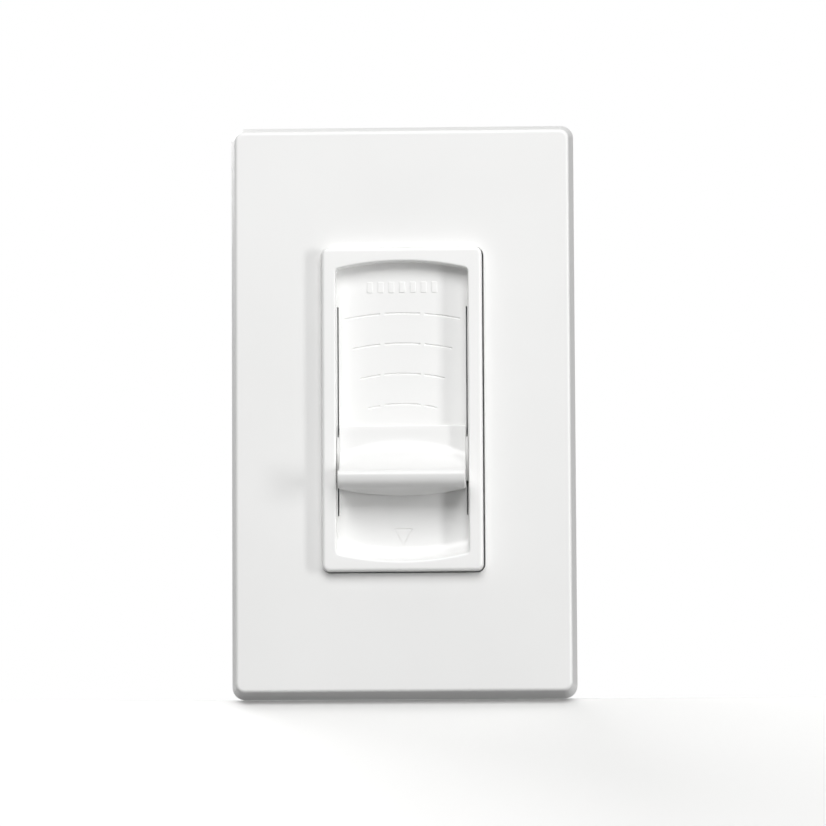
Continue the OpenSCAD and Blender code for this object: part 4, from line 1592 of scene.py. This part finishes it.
@dataclass
class Slider:
    """What moves with the paddle behind the panel."""

    def build(self) -> None:
        """Dresses the carriage, the lever and the wiper."""
        for node, name, finish, slot, easing in (
            ("slider_carriage", "carriage_plate", CARRIAGE_PLASTIC, "carriage_plastic", 0.12),
            ("wiper_carrier", "wiper_block", IVORY_PLASTIC, "ivory_plastic", 0.15),
        ):
            soften(node, name, finish, slot, easing, body=Body.SLIDER)
        dress("pot_lever", POT_STEEL)
        dress("wiper_fingers", SPRING_BRONZE)


@dataclass
class Circuit:
    """The circuit board, the slide potentiometer and the parts on the board. Sizes are in millimetres."""

    wire_r: float = 0.5
    turns: int = 18

    def build(self, wires: WireTool, copy_tool: CopyTool) -> None:
        """Places every electrical part.

        Args:
            wires: Tool that draws leads and windings.
            copy_tool: Tool that repeats small parts.
        """
        for node, name, finish, slot, easing in (
            ("circuit_board", "board_sheet", BOARD_LAMINATE, "board_laminate", 0.08),
            ("pot_case", "pot_can", POT_STEEL, "pot_steel", 0.12),
            ("triac", "triac_case", BLACK_EPOXY, "black_epoxy", 0.12),
            ("choke_core", "choke_rod", FERRITE, "ferrite", 0.2),
            ("line_capacitor", "line_capacitor_box", CAPACITOR_CASE, "capacitor_case", 0.5),
            ("timing_capacitor", "timing_capacitor_body", DIPPED_EPOXY, "dipped_epoxy", 0.9),
            ("trimmer", "trimmer_case", TRIMMER_PLASTIC, "trimmer_plastic", 0.15),
            ("thermal_fuse", "fuse_can", FUSE_CAN, "fuse_can", 0.3),
        ):
            soften(node, name, finish, slot, easing, 3)
        for node, finish in (
            ("pot_track", TRACK_LAMINATE), ("pot_terminals", TINNED_WIRE), ("triac_pad", SILICONE_PAD),
            ("triac_rivet", RIVET_STEEL), ("trimmer_rotor", IVORY_PLASTIC), ("component_leads", TINNED_WIRE),
        ):
            dress(node, finish)
        self.winding(wires)
        self.banded_parts(copy_tool)

    def winding(self, wires: WireTool) -> None:
        """Places the choke's winding, one wire that climbs round the rod.

        Args:
            wires: Tool that draws the wire.
        """
        box = Box.of("choke_winding")
        centre, radius = box.centre, box.size.x / 2 - self.wire_r
        low, high = box.low.z + self.wire_r, box.high.z - self.wire_r
        steps = 24 * self.turns
        route = []
        for i in range(steps + 1):
            a = math.pi / 2 + 2 * math.pi * i / 24
            x, y = centre.x + radius * math.cos(a), centre.y + radius * math.sin(a)
            route.append((x, y, low + (high - low) * i / steps))
        wires.paths([route], ENAMELLED_COPPER, self.wire_r, 0.0, 10).placed(
            "choke_wire", ENAMELLED_COPPER, Body.DEVICE, ["choke_winding"], "enamelled_copper", Shade.SOFT
        )

    def banded_parts(self, copy_tool: CopyTool) -> None:
        """Places the resistors, which have the swollen ends of a dipped part, and the diac.

        Args:
            copy_tool: Tool that repeats the resistor.
        """
        for node, name, finish, slot, radius, half, spots in (
            ("resistors", "resistor_set", RESISTOR_BODY, "resistor_body", 1.2, 3.3,
             [(-16.6, 0, -17.0), (-16.6, 0, -4.0), (0.0, 0, 15.0)]),
            ("diac", "diac_body", DIAC_GLASS, "diac_glass", 1.0, 2.0, [(5.0, 0, 15.0)]),
        ):
            y = Box.of(node).centre.y
            profile = []
            for i in range(25):
                t = -1 + 2 * i / 24
                swell = 0.86 + 0.14 * min(1.0, max(0.0, (abs(t) - 0.45) / 0.2)) if radius > 1.1 else 1.0
                end = math.sqrt(max(0.0, 1 - max(0.0, (abs(t) - 0.82) / 0.18) ** 2))
                profile.append((radius * swell * max(0.3, end), half * t))
            body = Form.lathe(profile, (0, 0, 0), "Z", 24)
            along = body.mesh.attributes.new("along", "FLOAT", "POINT")
            along.data.foreach_set("value", [(v.co.z + half) / (2 * half) for v in body.mesh.vertices])
            copy_tool.copies(body, [(x, y, z) for x, _, z in spots], finish).placed(
                name, finish, Body.DEVICE, [node], slot, Shade.SOFT
            )


@dataclass
class OffSwitch:
    """The switch that the slider opens at the bottom of its travel. Sizes are in millimetres."""

    step_x: float = 3.3
    step_run: float = 1.6
    step_drop: float = 1.68

    def build(self) -> None:
        """Places the block, forms the leaf and dresses the contacts."""
        soften("switch_block", "switch_body", BLACK_EPOXY, "black_epoxy", 0.15)
        self.leaf()
        dress("switch_contact", SPRING_BRONZE)
        dress("contact_points", CONTACT_SILVER)

    def leaf(self) -> None:
        """Forms the spring leaf with a step down at its free end, so the slider's post stops just short of it."""
        box = Box.of("switch_leaf")
        thick = box.high.z - box.low.z
        # How far along the step, and what share of its drop it has made there.
        course = ((1.0, 0.0), (0.75, 0.12), (0.5, 0.5), (0.25, 0.88), (0.0, 1.0))
        bend = [(self.step_x + self.step_run * t, share) for t, share in course]
        tops = [(box.high.x, 0.0), *bend, (box.low.x, 1.0)]
        outline = [(x, box.high.z - share * self.step_drop) for x, share in tops]
        outline += [(x, z - thick) for x, z in reversed(outline)]
        Form.prism(outline, box.low.y, box.high.y).eased(0.05).placed(
            "spring_leaf", SPRING_BRONZE, Body.DEVICE, ["switch_leaf"], "spring_bronze"
        )


# ---------------------------------------------------------------- stage


@dataclass
class Studio:
    """The floor, the lights and the camera.

    Sizes are in millimetres, apart from the camera frame's side and the place in it where the bezel's middle goes.
    Those two share a finer unit of their own: frame_per_mm of them cover a millimetre.
    """

    camera_distance: float = 950.0
    elevation: float = -5.0
    azimuth: float = 2.0
    roll: float = 0.3
    frame_side: float = 826.0
    frame_per_mm: float = 4.92
    aim: Point2 = (402.0, 408.5)
    sensor: float = 36.0
    light_distance: float = 2200.0
    floor_slope: float = 16.0
    edge_slope: float = 21.0
    edge_run: float = 4.0
    ambient: float = 0.185

    def build(self) -> None:
        """Sets up the stage."""
        bpy.context.scene.view_settings.view_transform = "Standard"
        self.floor()
        self.world()
        self.lights()
        self.camera()

    def floor(self) -> None:
        """A wide sheet under the plate that falls away towards the front, steeply at first and then gently."""
        plate = Box.of("faceplate")
        level = plate.low.z
        slope = math.tan(math.radians(self.floor_slope))
        extra = math.tan(math.radians(self.edge_slope)) - slope
        ahead_of_plate = [900, 400, 150, 60, 30, 20, 14, 11, 9, 7, 6, 5, 4, 3, 2, 1]
        ys = [-ahead for ahead in ahead_of_plate] + [0, 3, 8, 20, 60, 200, 450, 900]
        points = []
        for y in ys:
            ahead = max(0.0, -y)
            z = level - ahead * slope - extra * self.edge_run * (1 - math.exp(-ahead / self.edge_run))
            points += [(x * MM, y * MM, z * MM) for x in (-900, 900)]
        faces = [(i, i + 1, i + 3, i + 2) for i in range(0, 2 * len(ys) - 2, 2)]
        mesh = bpy.data.meshes.new("floor")
        mesh.from_pydata(points, [], faces)
        mesh.shade_smooth()
        mesh.materials.append(SWEEP_PAPER.material())
        floor = bpy.data.objects.new("floor", mesh)
        bpy.context.scene.collection.objects.link(floor)
        # The floor takes the shadow and shows in reflections, but throws no soft light back up.
        floor.visible_diffuse = False

    def world(self) -> None:
        """A white surround for the camera and a dimmer, even light for the object."""
        world = bpy.data.worlds.new("surround")
        bpy.context.scene.world = world
        world.use_nodes = True
        tree = world.node_tree
        tree.nodes.clear()
        path = add_node(tree, "ShaderNodeLightPath")
        strength = add_node(
            tree, "ShaderNodeMapRange",
            {"Value": path.outputs["Is Camera Ray"], "To Min": self.ambient, "To Max": 1.0},
        )
        sky = add_node(tree, "ShaderNodeBackground", {"Color": (1, 1, 1, 1), "Strength": strength})
        add_node(tree, "ShaderNodeOutputWorld", {"Surface": sky})

    def area(self, name: str, right: float, up: float, size: Point2, watts: float) -> None:
        """Hangs a soft light that looks at the object's middle.

        Args:
            name: Name of the light.
            right: Angle to the right of the front, in degrees.
            up: Angle above the horizon, in degrees.
            size: Width and height of the light.
            watts: Its power.
        """
        lamp = bpy.data.lights.new(name, "AREA")
        lamp.shape = "RECTANGLE"
        lamp.size, lamp.size_y = size[0] * MM, size[1] * MM
        lamp.energy = watts
        holder = bpy.data.objects.new(name, lamp)
        a, e = math.radians(right), math.radians(up)
        back = Vector((math.sin(a) * math.cos(e), -math.cos(a) * math.cos(e), math.sin(e)))
        holder.location = back * self.light_distance * MM
        holder.rotation_euler = (-back).to_track_quat("-Z", "Y").to_euler()
        holder.visible_camera = False
        bpy.context.scene.collection.objects.link(holder)

    def lights(self) -> None:
        """A large soft light above the front, a tall strip to the right, a dim one overhead and a fill behind."""
        self.area("key_above", 0, 35, (1900, 1300), 38.3)
        self.area("key_right", 58.5, -2, (300, 1300), 21.0)
        self.area("top", 0, 86, (2200, 1100), 7.0)
        self.area("back_fill", 215, 30, (1600, 1600), 36.0)

    def camera(self) -> None:
        """Puts the camera a little below and to the right of the front, with a long lens."""
        bezel = Box.of("bezel")
        target = Vector((0.0, bezel.low.y, bezel.centre.z))
        a, e = math.radians(self.azimuth), math.radians(self.elevation)
        back = Vector((math.sin(a) * math.cos(e), -math.cos(a) * math.cos(e), math.sin(e)))
        data = bpy.data.cameras.new("camera")
        data.sensor_width = self.sensor
        data.lens = self.frame_per_mm * self.sensor * self.camera_distance / self.frame_side
        camera = bpy.data.objects.new("camera", data)
        turn = (-back).to_track_quat("-Z", "Y").to_matrix()
        right, up = turn.col[0], turn.col[1]
        middle = self.frame_side / 2
        offset = right * (middle - self.aim[0]) / self.frame_per_mm
        offset += up * (self.aim[1] - middle) / self.frame_per_mm
        camera.location = (target + back * self.camera_distance + offset) * MM
        camera.rotation_euler = (turn @ Matrix.Rotation(math.radians(-self.roll), 3, "Z")).to_euler()
        data.clip_start, data.clip_end = 0.01, 20
        bpy.context.scene.collection.objects.link(camera)
        bpy.context.scene.camera = camera


def main() -> None:
    """Builds the dimmer from the front to the back."""
    logging.basicConfig(level=logging.INFO, format="%(name)s: %(message)s")
    wires, threads, copy_tool = WireTool(), ThreadTool(), CopyTool()
    Studio().build()
    Faceplate().build()
    Bezel().build(copy_tool)
    Paddle().build()
    PlateAdapter().build(threads)
    MountingStrap().build(threads, copy_tool)
    RearHousing().build()
    SideTerminals().build()
    Slider().build()
    Circuit().build(wires, copy_tool)
    OffSwitch().build()


if __name__ == "__main__":
    main()
